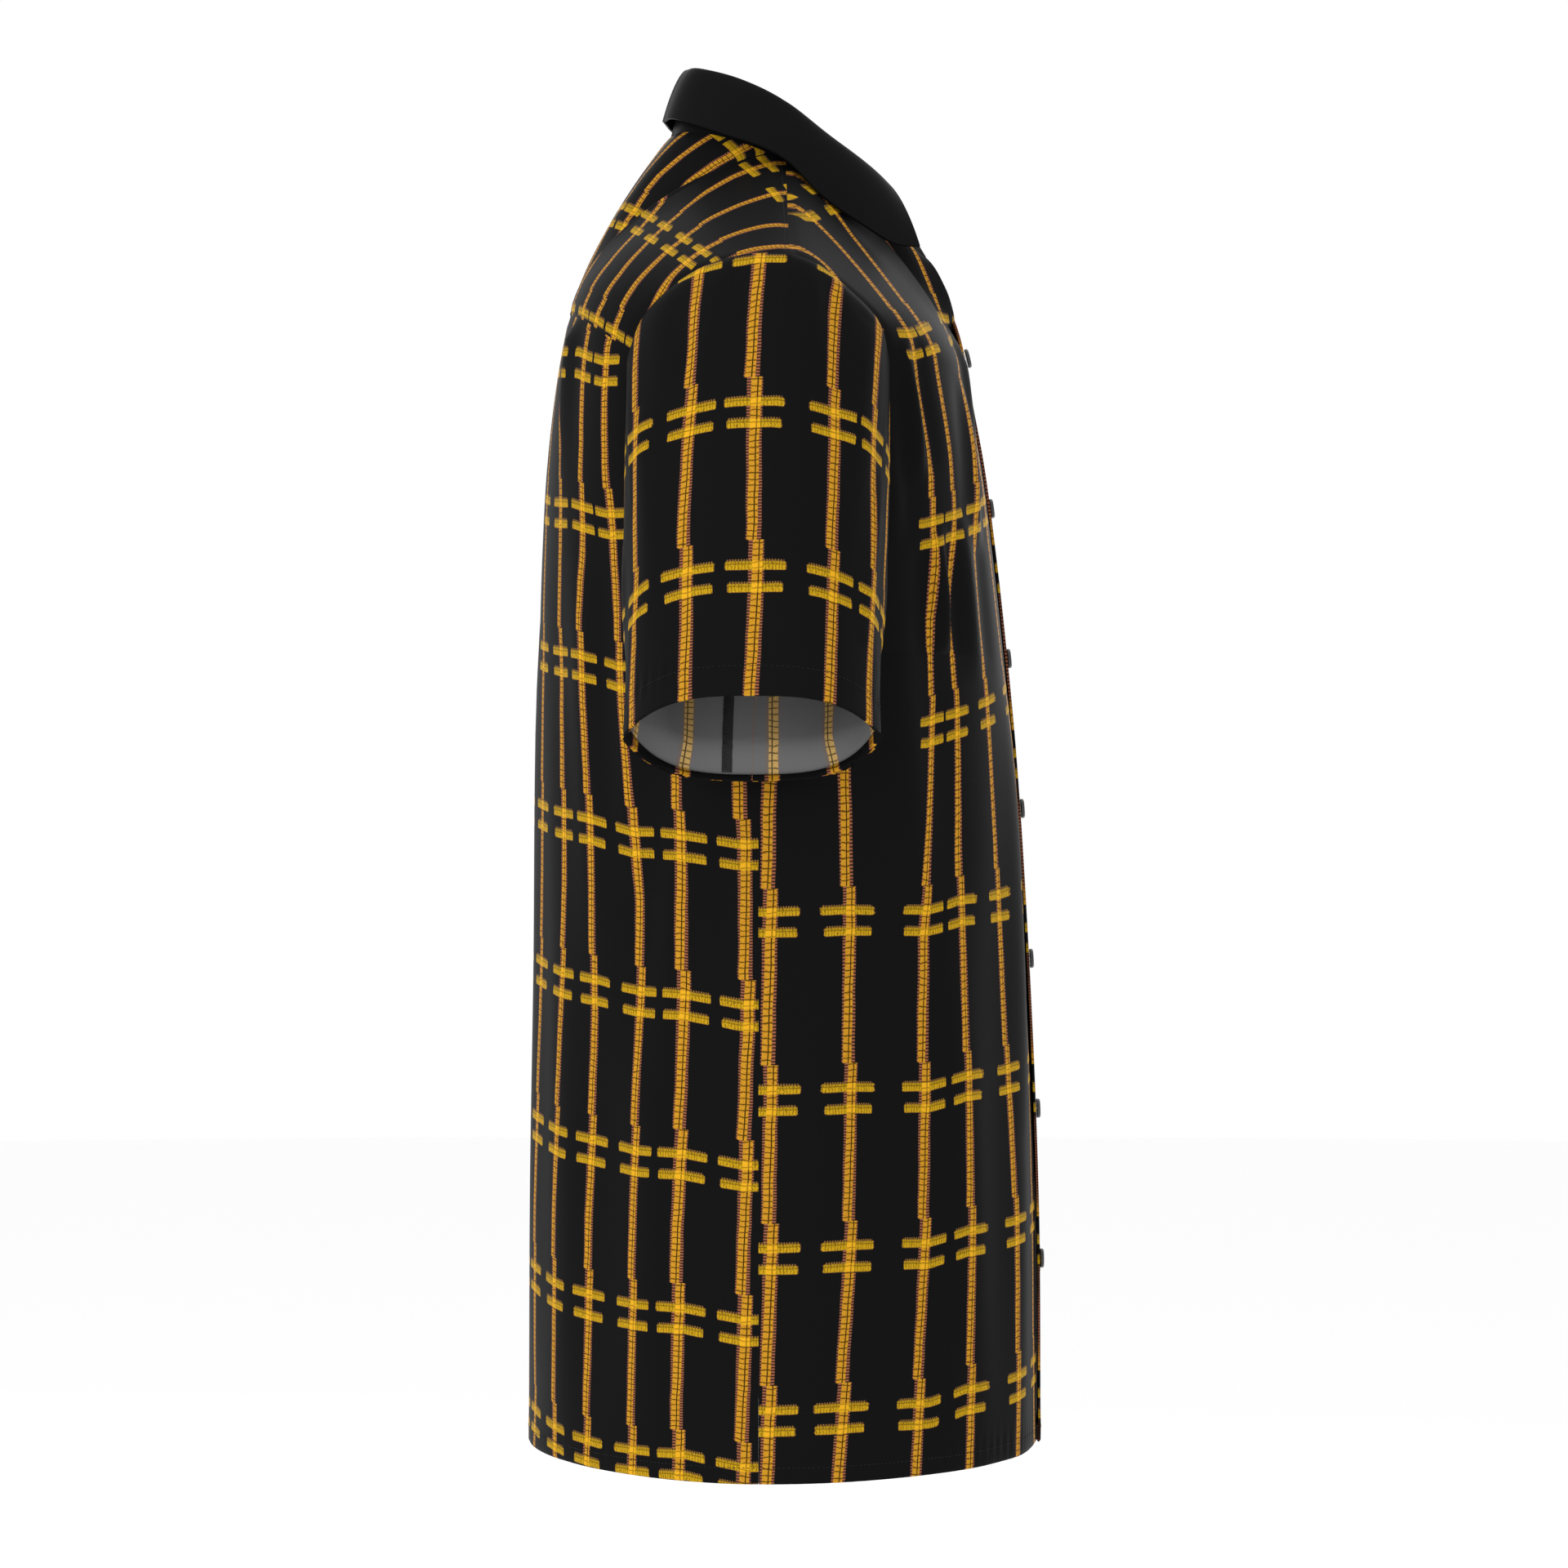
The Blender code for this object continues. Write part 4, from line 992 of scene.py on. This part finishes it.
def backPanel():
    count = body["backColumns"] // 2
    grid = bothSides(bodyRows(False, np.linspace(0, 1, count + 1)))
    height = grid[:, :, 2]
    away = np.abs(grid[:, :, 0]) - pleat["x"]
    fold = np.minimum(smoothStep(-pleat["steep"], 0, away), 1 - smoothStep(0, pleat["soft"], away))
    down = height[-1] - height
    fold *= smoothStep(0, pleat["start"], down) * (1 - smoothStep(pleat["start"], pleat["length"], down))
    across = arcs(grid, 1)
    across = across - across[:, count:count + 1]
    up = body["hem"] + arcs(grid, 0)
    calm = smoothStep(0, cloth["calm"], across[:, -1:] - np.abs(across))
    calm = calm * smoothStep(0, cloth["calm"], up[-1:] - up)
    lift = creaseHeight(across, up, backCreases) * calm + pleat["depth"] * fold
    lift += puckers(across, up - body["hem"] - cloth["hemFold"])
    seams = ("top", "left", "right")
    lift -= seamSink(grid, seams)
    outer = pullIn(grid - gridNormals(grid) * lift[:, :, None], seams)
    u = acrossPrint(-across, allStripesAt("back", height))
    top, deep = printChart["backLow"]
    low = np.clip((top - height) / deep, 0, 1)
    v = alongPrint("backBars", height - barRise("backRise", "backRiseLow", -across, low))
    return panel("backCloth", outer, -gridNormals(outer), u, v, True, **bodyHem)


def yokePanel():
    shares = frontShares()
    grid, normals = (bothSides(half) for half in yokeHalf(shares))
    across = arcs(grid, 1)
    across = across - across[:, len(shares) - 1:len(shares)]
    seams = ("bottom", "top", "left", "right")
    outer = pullIn(grid - normals * seamSink(grid, seams)[:, :, None], seams)
    level = np.broadcast_to(np.linspace(0, 1, len(grid))[:, None], across.shape)
    u, v = acrossPrint(-across, allStripesAt("yoke", level)), alongPrint("yokeBars", arcs(grid, 0))
    return panel("yokeCloth", outer, -gridNormals(outer), u, v, True, inward=normals)


def sleevePiece(side):
    grid, angles = sleeveGrid()
    start = int(np.argmin(np.abs(angles - np.pi)))
    grid = np.roll(grid, -start, axis=1)
    middle = int(np.argmin(np.roll(np.minimum(angles, 2 * np.pi - angles), -start)))
    whole = np.concatenate([grid, grid[:, :1]], axis=1)
    across, reach = arcs(whole, 1), arcs(whole, 0)
    across, reach = across - across[:, middle:middle + 1], reach[-1:] - reach
    edge = across[:, -1:]
    calm = smoothStep(0, cloth["calm"], reach[:1] - reach)
    calm = calm * smoothStep(0, sleeve["calmShare"], sleeve["calmFrom"] - np.abs(across / edge) / 2)
    lift = creaseHeight(across, reach, sleeveCreases) * calm
    lift += puckers(across + side, reach - cloth["sleeveHemFold"]) - seamSink(whole, ("bottom",))
    under = smoothStep(*sleeve["underFrom"], np.abs(across) / edge)
    lift += sleeve["underFlare"] * (1 - smoothStep(0, sleeve["underFlareHeight"], reach)) * under
    outer = grid + gridNormals(grid, closed=True) * lift[:, :-1, None]
    line = whole[:, middle, 2]
    centres = stripesAt("sleeve", np.broadcast_to(line[:, None], across.shape))
    backward = across[:, :1, None] + np.array(printChart["underBack"])
    forward = edge[:, :, None] - np.array(printChart["underFront"])
    seen = [np.broadcast_to(part, across.shape + (3,)) for part in (backward, forward)]
    seen.insert(1, centres[:, :, slice(*printChart["sleeveThrough"])])
    u, innerU = (acrossPrint(across, part) * -side for part in (centres, np.concatenate(seen, axis=2)))
    v = alongPrint("sleeveBars", np.interp(reach, reach[::-1, middle], line[::-1]))
    name = "leftSleeveCloth" if side > 0 else "rightSleeveCloth"
    facing = gridNormals(outer, closed=True)
    return panel(name, outer, facing, u, v, side < 0, side, closed=True, innerU=innerU, **sleeveHem)


def standHalf(shares):
    steps = np.linspace(0, 1, detail["row"])
    neck = np.concatenate([curve(body["neckBack"], steps), curve(body["neckFront"], steps)[1:]])
    low, top = evenly(neck, shares), curve(collar["standTop"], shares)
    low = (low - unit(top - low) * collar["standTuckDown"]) * np.array([collar["standTuck"], 1, 1])
    return np.array([low * (1 - t) + top * t for t in np.linspace(0, 1, collar["standRows"])])


# The leaf rises from the stand's top, rolls over and falls to its edge
def leafHalf(shares):
    stand = standHalf(shares * collar["leafEnd"])
    run = unit(stand[-1] - stand[-2])
    out = -gridNormals(bothSides(stand))[-1, len(shares) - 1:]
    start = stand[-1] - out * cloth["collarThickness"] + run * collar["leafClearance"]
    edge = curve(collar["leafEdge"], shares)
    flatOut = unit(out * np.array([1, 1, 0]))
    rise = start + run * collar["rollHeight"]
    swell = flatOut * collar["leafSwell"] * smoothStep(collar["leafSwellFrom"], 1, shares)[:, None]
    turn = rise + flatOut * collar["rollWidth"] + swell
    rows = []
    for t in np.linspace(0, 1, collar["leafRows"]) ** collar["leafEase"]:
        near = (1 - t) ** 3 * start + 3 * t * (1 - t) ** 2 * rise
        rows.append(near + 3 * t * t * (1 - t) * turn + t**3 * edge)
    return np.array(rows)


def collarPiece(name, half, flip):
    grid = bothSides(half(np.linspace(0, 1, collar["columns"])))
    facing = -gridNormals(grid) if flip else gridNormals(grid)
    return plainWall(name, grid, facing, cloth["collarThickness"], plainBlack, flip), grid, facing


def plainWall(name, grid, facing, thickness, material, flip):
    places = np.stack([arcs(grid, 1), arcs(grid, 0)], axis=2)
    inside = np.zeros((grid.shape[0] - 1, grid.shape[1] - 1), int)
    return clothWall(name, grid, grid - facing * thickness, places, (material,), inside, flip=flip)


# Each is its object, outer grid and normals
rightFront, leftFront = frontPanel(-1), frontPanel(1)
back, yoke = backPanel(), yokePanel()
rightSleeve, leftSleeve = sleevePiece(-1), sleevePiece(1)
stand, leaf = collarPiece("standCloth", standHalf, True), collarPiece("leafCloth", leafHalf, False)
print("cloth pieces made")


sewing = {
    "step": 0.0028,
    "stitch": 0.0021,
    "thread": 0.0002,
    "lift": 0.00012,
    "seed": 7,
    "belowFold": 0.0008,
    "belowSleeveFold": 0.001,
    "besideSeam": 0.0022,
    "collarHalf": 0.078,
}


def addTree(name, sockets):
    tree = bpy.data.node_groups.new(name, "GeometryNodeTree")
    for label, kind, value in (("Geometry", "Geometry", None), *sockets, ("Material", "Material", None)):
        made = tree.interface.new_socket(label, in_out="INPUT", socket_type="NodeSocket" + kind)
        if value is not None:
            made.default_value = value
    tree.interface.new_socket("Geometry", in_out="OUTPUT", socket_type="NodeSocketGeometry")
    return tree, {socket.name: Value(tree, socket) for socket in tree.nodes.new("NodeGroupInput").outputs}


def endTree(tree, shape, given):
    real = newNode(tree, "GeometryNodeRealizeInstances", {0: shape})
    painted = newNode(tree, "GeometryNodeSetMaterial", {"Geometry": real, "Material": given["Material"]})
    put(tree.nodes.new("NodeGroupOutput").inputs[0], painted)
    return tree


# Single stitches set one after the other along every line of the mesh
def stitchTree():
    tree, given = addTree("runningStitch", (
        ("Step", "Float", sewing["step"]),
        ("Stitch", "Float", sewing["stitch"]),
        ("Thread", "Float", sewing["thread"]),
        ("Seed", "Int", sewing["seed"]),
    ))
    line = newNode(tree, "GeometryNodeMeshToCurve", {"Mesh": given["Geometry"]})
    spaced = newNode(tree, "GeometryNodeResampleCurve", {"Curve": line, "Length": given["Step"]}, mode="LENGTH")
    grain = newNode(tree, "GeometryNodeMeshIcoSphere", {"Radius": 0.5})
    grain = newNode(tree, "GeometryNodeSetShadeSmooth", {0: grain})
    spread = newNode(tree, "FunctionNodeRandomValue", {2: 0.88, 3: 1.08, "Seed": given["Seed"]}, 1)
    wide = given["Thread"] * 2
    tangent = newNode(tree, "GeometryNodeInputTangent", {})
    turned = newNode(tree, "FunctionNodeAlignRotationToVector", {"Vector": tangent}, axis="X")
    size = combine(given["Stitch"] * spread, wide, wide)
    inputs = {"Points": spaced, "Instance": grain, "Rotation": turned, "Scale": size}
    return endTree(tree, newNode(tree, "GeometryNodeInstanceOnPoints", inputs), given)


# One thread that runs unbroken along every line of the mesh
def threadTree():
    tree, given = addTree("unbrokenThread", (("Thread", "Float", sewing["thread"]),))
    line = newNode(tree, "GeometryNodeMeshToCurve", {"Mesh": given["Geometry"]})
    ring = newNode(tree, "GeometryNodeCurvePrimitiveCircle", {"Resolution": 5, "Radius": given["Thread"]})
    inputs = {"Curve": line, "Profile Curve": ring, "Fill Caps": True}
    return endTree(tree, newNode(tree, "GeometryNodeCurveToMesh", inputs), given)


# Runs a tree over lines of points and leaves a plain mesh
def sew(name, lines, tree, values):
    points, edges = [], []
    for line in lines:
        first = len(points)
        points += [tuple(point) for point in line]
        edges += [(first + k, first + k + 1) for k in range(len(line) - 1)]
    mesh = bpy.data.meshes.new(name + "Lines")
    mesh.from_pydata(points, edges, [])
    guide = bpy.data.objects.new(name + "Guide", mesh)
    bpy.context.scene.collection.objects.link(guide)
    modifier = guide.modifiers.new("sewing", "NODES")
    modifier.node_group = tree
    for item in tree.interface.items_tree:
        if item.in_out == "INPUT" and item.name in values:
            modifier[item.identifier] = values[item.name]
    graph = bpy.context.evaluated_depsgraph_get()
    made = bpy.data.objects.new(name, bpy.data.meshes.new_from_object(guide.evaluated_get(graph)))
    bpy.data.objects.remove(guide)
    bpy.context.scene.collection.objects.link(made)
    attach(made, "root")
    return made


# A line on a grid at a distance from its first or last row, lifted off the cloth
def rowLine(grid, facing, distance, fromTop=False, closed=False):
    lifted = grid + facing * sewing["lift"]
    if fromTop:
        grid, lifted = grid[::-1], lifted[::-1]
    up = arcs(grid, 0)
    line = [pointsAt(distance, up[:, j], lifted[:, j]) for j in range(grid.shape[1])]
    return np.array(line + line[:1] if closed else line)


running, unbroken = stitchTree(), threadTree()
hemLines = []
for piece in (rightFront, leftFront, back):
    hemLines.append(rowLine(*piece[1:], cloth["hemFold"] - sewing["belowFold"]))
for piece in (rightSleeve, leftSleeve):
    hemLines.append(rowLine(*piece[1:], cloth["sleeveHemFold"] - sewing["belowSleeveFold"], True, True))
shoulders = rowLine(*yoke[1:], sewing["besideSeam"], fromTop=True)
seamLines = [rowLine(*yoke[1:], sewing["besideSeam"])]
seamLines += [shoulders[side * shoulders[:, 0] > sewing["collarHalf"]] for side in (-1, 1)]
stitchValues = {name.title(): sewing[name] for name in ("step", "stitch", "thread", "seed")}
stitchValues["Material"] = thread
sew("hemStitches", hemLines, running, stitchValues)
sew("seamStitches", seamLines, running, stitchValues)

# Buttons: thread through the four holes, and a worked buttonhole behind each on the left front
buttonSewing = {
    "hole": 0.0015,
    "face": 0.00055,
    "thread": 0.00032,
    "holeLong": 0.015,
    "holeWide": 0.002,
    "holeThread": 0.00016,
    "holeLift": 0.00018,
    "zigzag": 0.00055,
}


def crossThreads(centre, facing):
    turn = Vector(facing).to_track_quat("Z", "Y")
    hole, face = buttonSewing["hole"], buttonSewing["face"]
    arch = ((-1, -0.001), (-0.86, face + 0.0002), (0, face + 0.00045), (0.86, face + 0.0002), (1, -0.001))
    return [[Vector(centre) + turn @ Vector((x, y * hole, z)) for y, z in arch] for x in (-hole, hole)]


# Row and column where the smallest distance is
def nearest(away):
    return np.unravel_index(np.argmin(away), away.shape)


def onFront(grid, x, z):
    return nearest((grid[:, :, 0] - x) ** 2 + (grid[:, :, 2] - z) ** 2)


# A zigzag round a slit, laid on the cloth
def workedHole(grid, facing, x, z):
    long, wide = buttonSewing["holeLong"] / 2, buttonSewing["holeWide"] / 2
    count = int(4 * long / buttonSewing["zigzag"])
    i, j = onFront(grid, x, z)
    centre, out = grid[i, j], facing[i, j] * buttonSewing["holeLift"]
    slopeX = (grid[i, j + 2] - grid[i, j - 2]) / (grid[i, j + 2, 0] - grid[i, j - 2, 0])
    slopeZ = (grid[i + 2, j] - grid[i - 2, j]) / (grid[i + 2, j, 2] - grid[i - 2, j, 2])
    path = []
    for k in range(count + 1):
        t = k / count * 2 * np.pi
        reach = 1.0 if k % 2 else 0.25
        dx = np.sign(np.cos(t)) * wide * reach * min(1, abs(np.cos(t)) * 6)
        dz = np.clip(np.sin(t) * 1.35, -1, 1) * long * (0.92 + 0.08 * reach)
        path.append(centre + slopeX * (x + dx - centre[0]) + slopeZ * (z + dz - centre[2]) + out)
    return path


frontButtons = [f"button_front_{number}" for number in range(1, 8)]
buttonLines, holeLines = [], []
grid, facing = leftFront[1:]
for name in frontButtons:
    low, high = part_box(name)
    centre = (low + high) / 2
    i, j = onFront(grid, 0, centre.z)
    buttonLines += crossThreads(centre, Vector((0, *facing[i, j, 1:])).normalized())
    holeLines.append(workedHole(grid, facing, 0, centre.z))
low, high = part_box("button_collar")
centre = np.array((low + high) / 2)
buttonLines += crossThreads(centre, stand[2][nearest(np.linalg.norm(stand[1] - centre, axis=2))])
sew("buttonThreads", buttonLines, unbroken, {"Thread": buttonSewing["thread"], "Material": thread})
sew("buttonholes", holeLines, unbroken, {"Thread": buttonSewing["holeThread"], "Material": thread})

# Overlocked seam allowances inside, guessed alike for all four long seams
allowance = {
    "half": 0.0028,
    "thickness": 0.0004,
    "profile": ((-1, 0.0011), (-0.5, 0.0013), (0, 0.0013), (0.5, 0.0013), (1, 0.0011)),
    "zigzag": 0.0011,
    "zigzagLift": 0.00145,
    "thread": 0.00022,
    "fromSideSeam": 0.0045,
    "fromSleeveSeam": 0.0155,
    "narrowing": 0.0015,
}


# A narrow strip with its zigzag, from points on the cloth, the way across them and the way out
def seamStrip(name, centre, beside, out):
    half = allowance["half"]
    lines = [centre + beside * half * reach - out * lift for reach, lift in allowance["profile"]]
    grid = np.stack(lines, axis=1)
    facing = np.repeat(-out[:, None], grid.shape[1], axis=1)
    turned = np.sum(np.cross(grid[0, 1] - grid[0, 0], grid[1, 0] - grid[0, 0]) * facing[0, 0]) < 0
    made = plainWall(name, grid, facing, allowance["thickness"], seamCloth, bool(turned))
    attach(made, "root")
    lengths = lengthsOf(centre)
    steps = np.arange(0, lengths[-1], allowance["zigzag"])
    at, over, off = (pointsAt(steps, lengths, line) for line in (centre, beside, out))
    swing = np.where(np.arange(len(steps)) % 2, half, -half * 0.2)[:, None]
    return at + over * swing - off * allowance["zigzagLift"]


def sleeveSeam(grid, facing):
    rows = []
    for i in range(4, len(grid) - 6):
        ring = np.concatenate([grid[i], grid[i, :1]])
        lengths = lengthsOf(ring)
        here = allowance["fromSleeveSeam"] - allowance["narrowing"] * i / len(grid)
        place, after = pointsAt(np.array([here, here + 0.001]), lengths, ring)
        out = facing[i, np.searchsorted(lengths, here) % grid.shape[1]]
        rows.append((place, unit(after - place), out))
    return [np.array(part) for part in zip(*rows)]


zigzags = [seamStrip("rightSleeveSeam", *sleeveSeam(*rightSleeve[1:]))]
zigzags.append(seamStrip("leftSleeveSeam", *sleeveSeam(*leftSleeve[1:])))
for name, column, toward in (("rightSideSeam", 0, 1), ("leftSideSeam", -1, -1)):
    grid, facing = (part[5:len(hemRows()) - 2] for part in back[1:])
    beside = unit(grid[:, column + 3 * toward] - grid[:, column])
    centre = grid[:, column] + beside * allowance["fromSideSeam"]
    zigzags.append(seamStrip(name, centre, beside, facing[:, column + 2 * toward]))
sew("overlockThreads", zigzags, unbroken, {"Thread": allowance["thread"], "Material": seamThread})
print("sewing done")

# Each piece: its CAD node and slot. The cut of what shows is printed, all round on a sleeve
pieces = (
    (rightFront, "front_right", "printed_cloth"),
    (leftFront, "front_left", "printed_cloth"),
    (back, "back_panel", "printed_cloth"),
    (yoke, "yoke", "printed_cloth"),
    (rightSleeve, "sleeve_right", "printed_cloth"),
    (leftSleeve, "sleeve_left", "printed_cloth"),
    (stand, "collar_stand", "plain_cloth"),
    (leaf, "collar_fall", "plain_cloth"),
)
for (piece, grid, facing), node, slotName in pieces:
    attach(piece, "root")
    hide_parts(node)
    if "sleeve" in node:
        grid = np.concatenate([grid, grid[:, :1]], axis=1)
    width, length, area = arcs(grid, 1)[:, -1].max(), arcs(grid, 0)[-1].max(), areaOf(grid)
    print("cut", piece.name, round(width, 3), round(length, 3), round(area, 4))
    ["yoke"] if node != "yoke" else []

for name in (*frontButtons, "button_collar"):
    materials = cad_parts[name].data.materials
    materials.clear()
    materials.append(buttonPlastic)

# Floor, light and camera. A light is its place, target, size and power
room = {
    "floorRadius": 9,
    "floorCorners": 64,
    "floorHeight": -1.15,
    "floorTone": 0.97,
    "lights": {
        "keyLight": ((-2.6, 2.3, 0.7), (0, 0.05, -0.35), 1.5, 34),
        "fillLight": ((-2.8, -2.2, -0.2), (0, 0, -0.4), 2.2, 7),
        "topLight": ((0.3, 0.3, 2.8), (0, 0, -0.3), 2.4, 4),
        "farLight": ((2.8, -0.6, 0.8), (0, 0, -0.35), 2.4, 12),
    },
    "cameraPlace": (-3.17, 0, -0.3556),
    "lens": 123.92,
    "sensor": 36,
}


def makeFloor():
    mesh = bpy.data.meshes.new("floor")
    radius, count = room["floorRadius"], room["floorCorners"]
    angles = np.linspace(0, 2 * np.pi, count + 1)[:-1]
    corners = [(radius * np.cos(a), radius * np.sin(a), room["floorHeight"]) for a in angles]
    mesh.from_pydata(corners, [], [list(range(count))])
    obj = bpy.data.objects.new("floor", mesh)
    bpy.context.scene.collection.objects.link(obj)
    tone = room["floorTone"]
    mesh.materials.append(newMaterial("paleFloor", {"Base Color": (tone, tone, tone, 1), "Roughness": 0.9}))
    return obj


def softLight(name, place, target, size, power):
    data = bpy.data.lights.new(name, "AREA")
    data.shape = "SQUARE"
    data.size = size
    data.energy = power
    obj = bpy.data.objects.new(name, data)
    obj.location = place
    obj.rotation_mode = "QUATERNION"
    obj.rotation_quaternion = (Vector(target) - Vector(place)).to_track_quat("-Z", "Y")
    bpy.context.scene.collection.objects.link(obj)
    return obj


makeFloor()
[softLight(name, *values) for name, values in room["lights"].items()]
world = bpy.data.worlds.new("paleRoom")
world.use_nodes = True
background = world.node_tree.nodes["Background"].inputs
background["Color"].default_value = (1, 1, 1, 1)
background["Strength"].default_value = 1.0
bpy.context.scene.world = world
bpy.context.scene.view_settings.view_transform = "Standard"

cameraData = bpy.data.cameras.new("photoCamera")
cameraData.lens, cameraData.sensor_width = room["lens"], room["sensor"]
camera = bpy.data.objects.new("photoCamera", cameraData)
camera.location = room["cameraPlace"]
camera.rotation_euler = (radians(90), 0, radians(-90))
bpy.context.scene.collection.objects.link(camera)
bpy.context.scene.camera = camera

print("stage, light and camera ready")
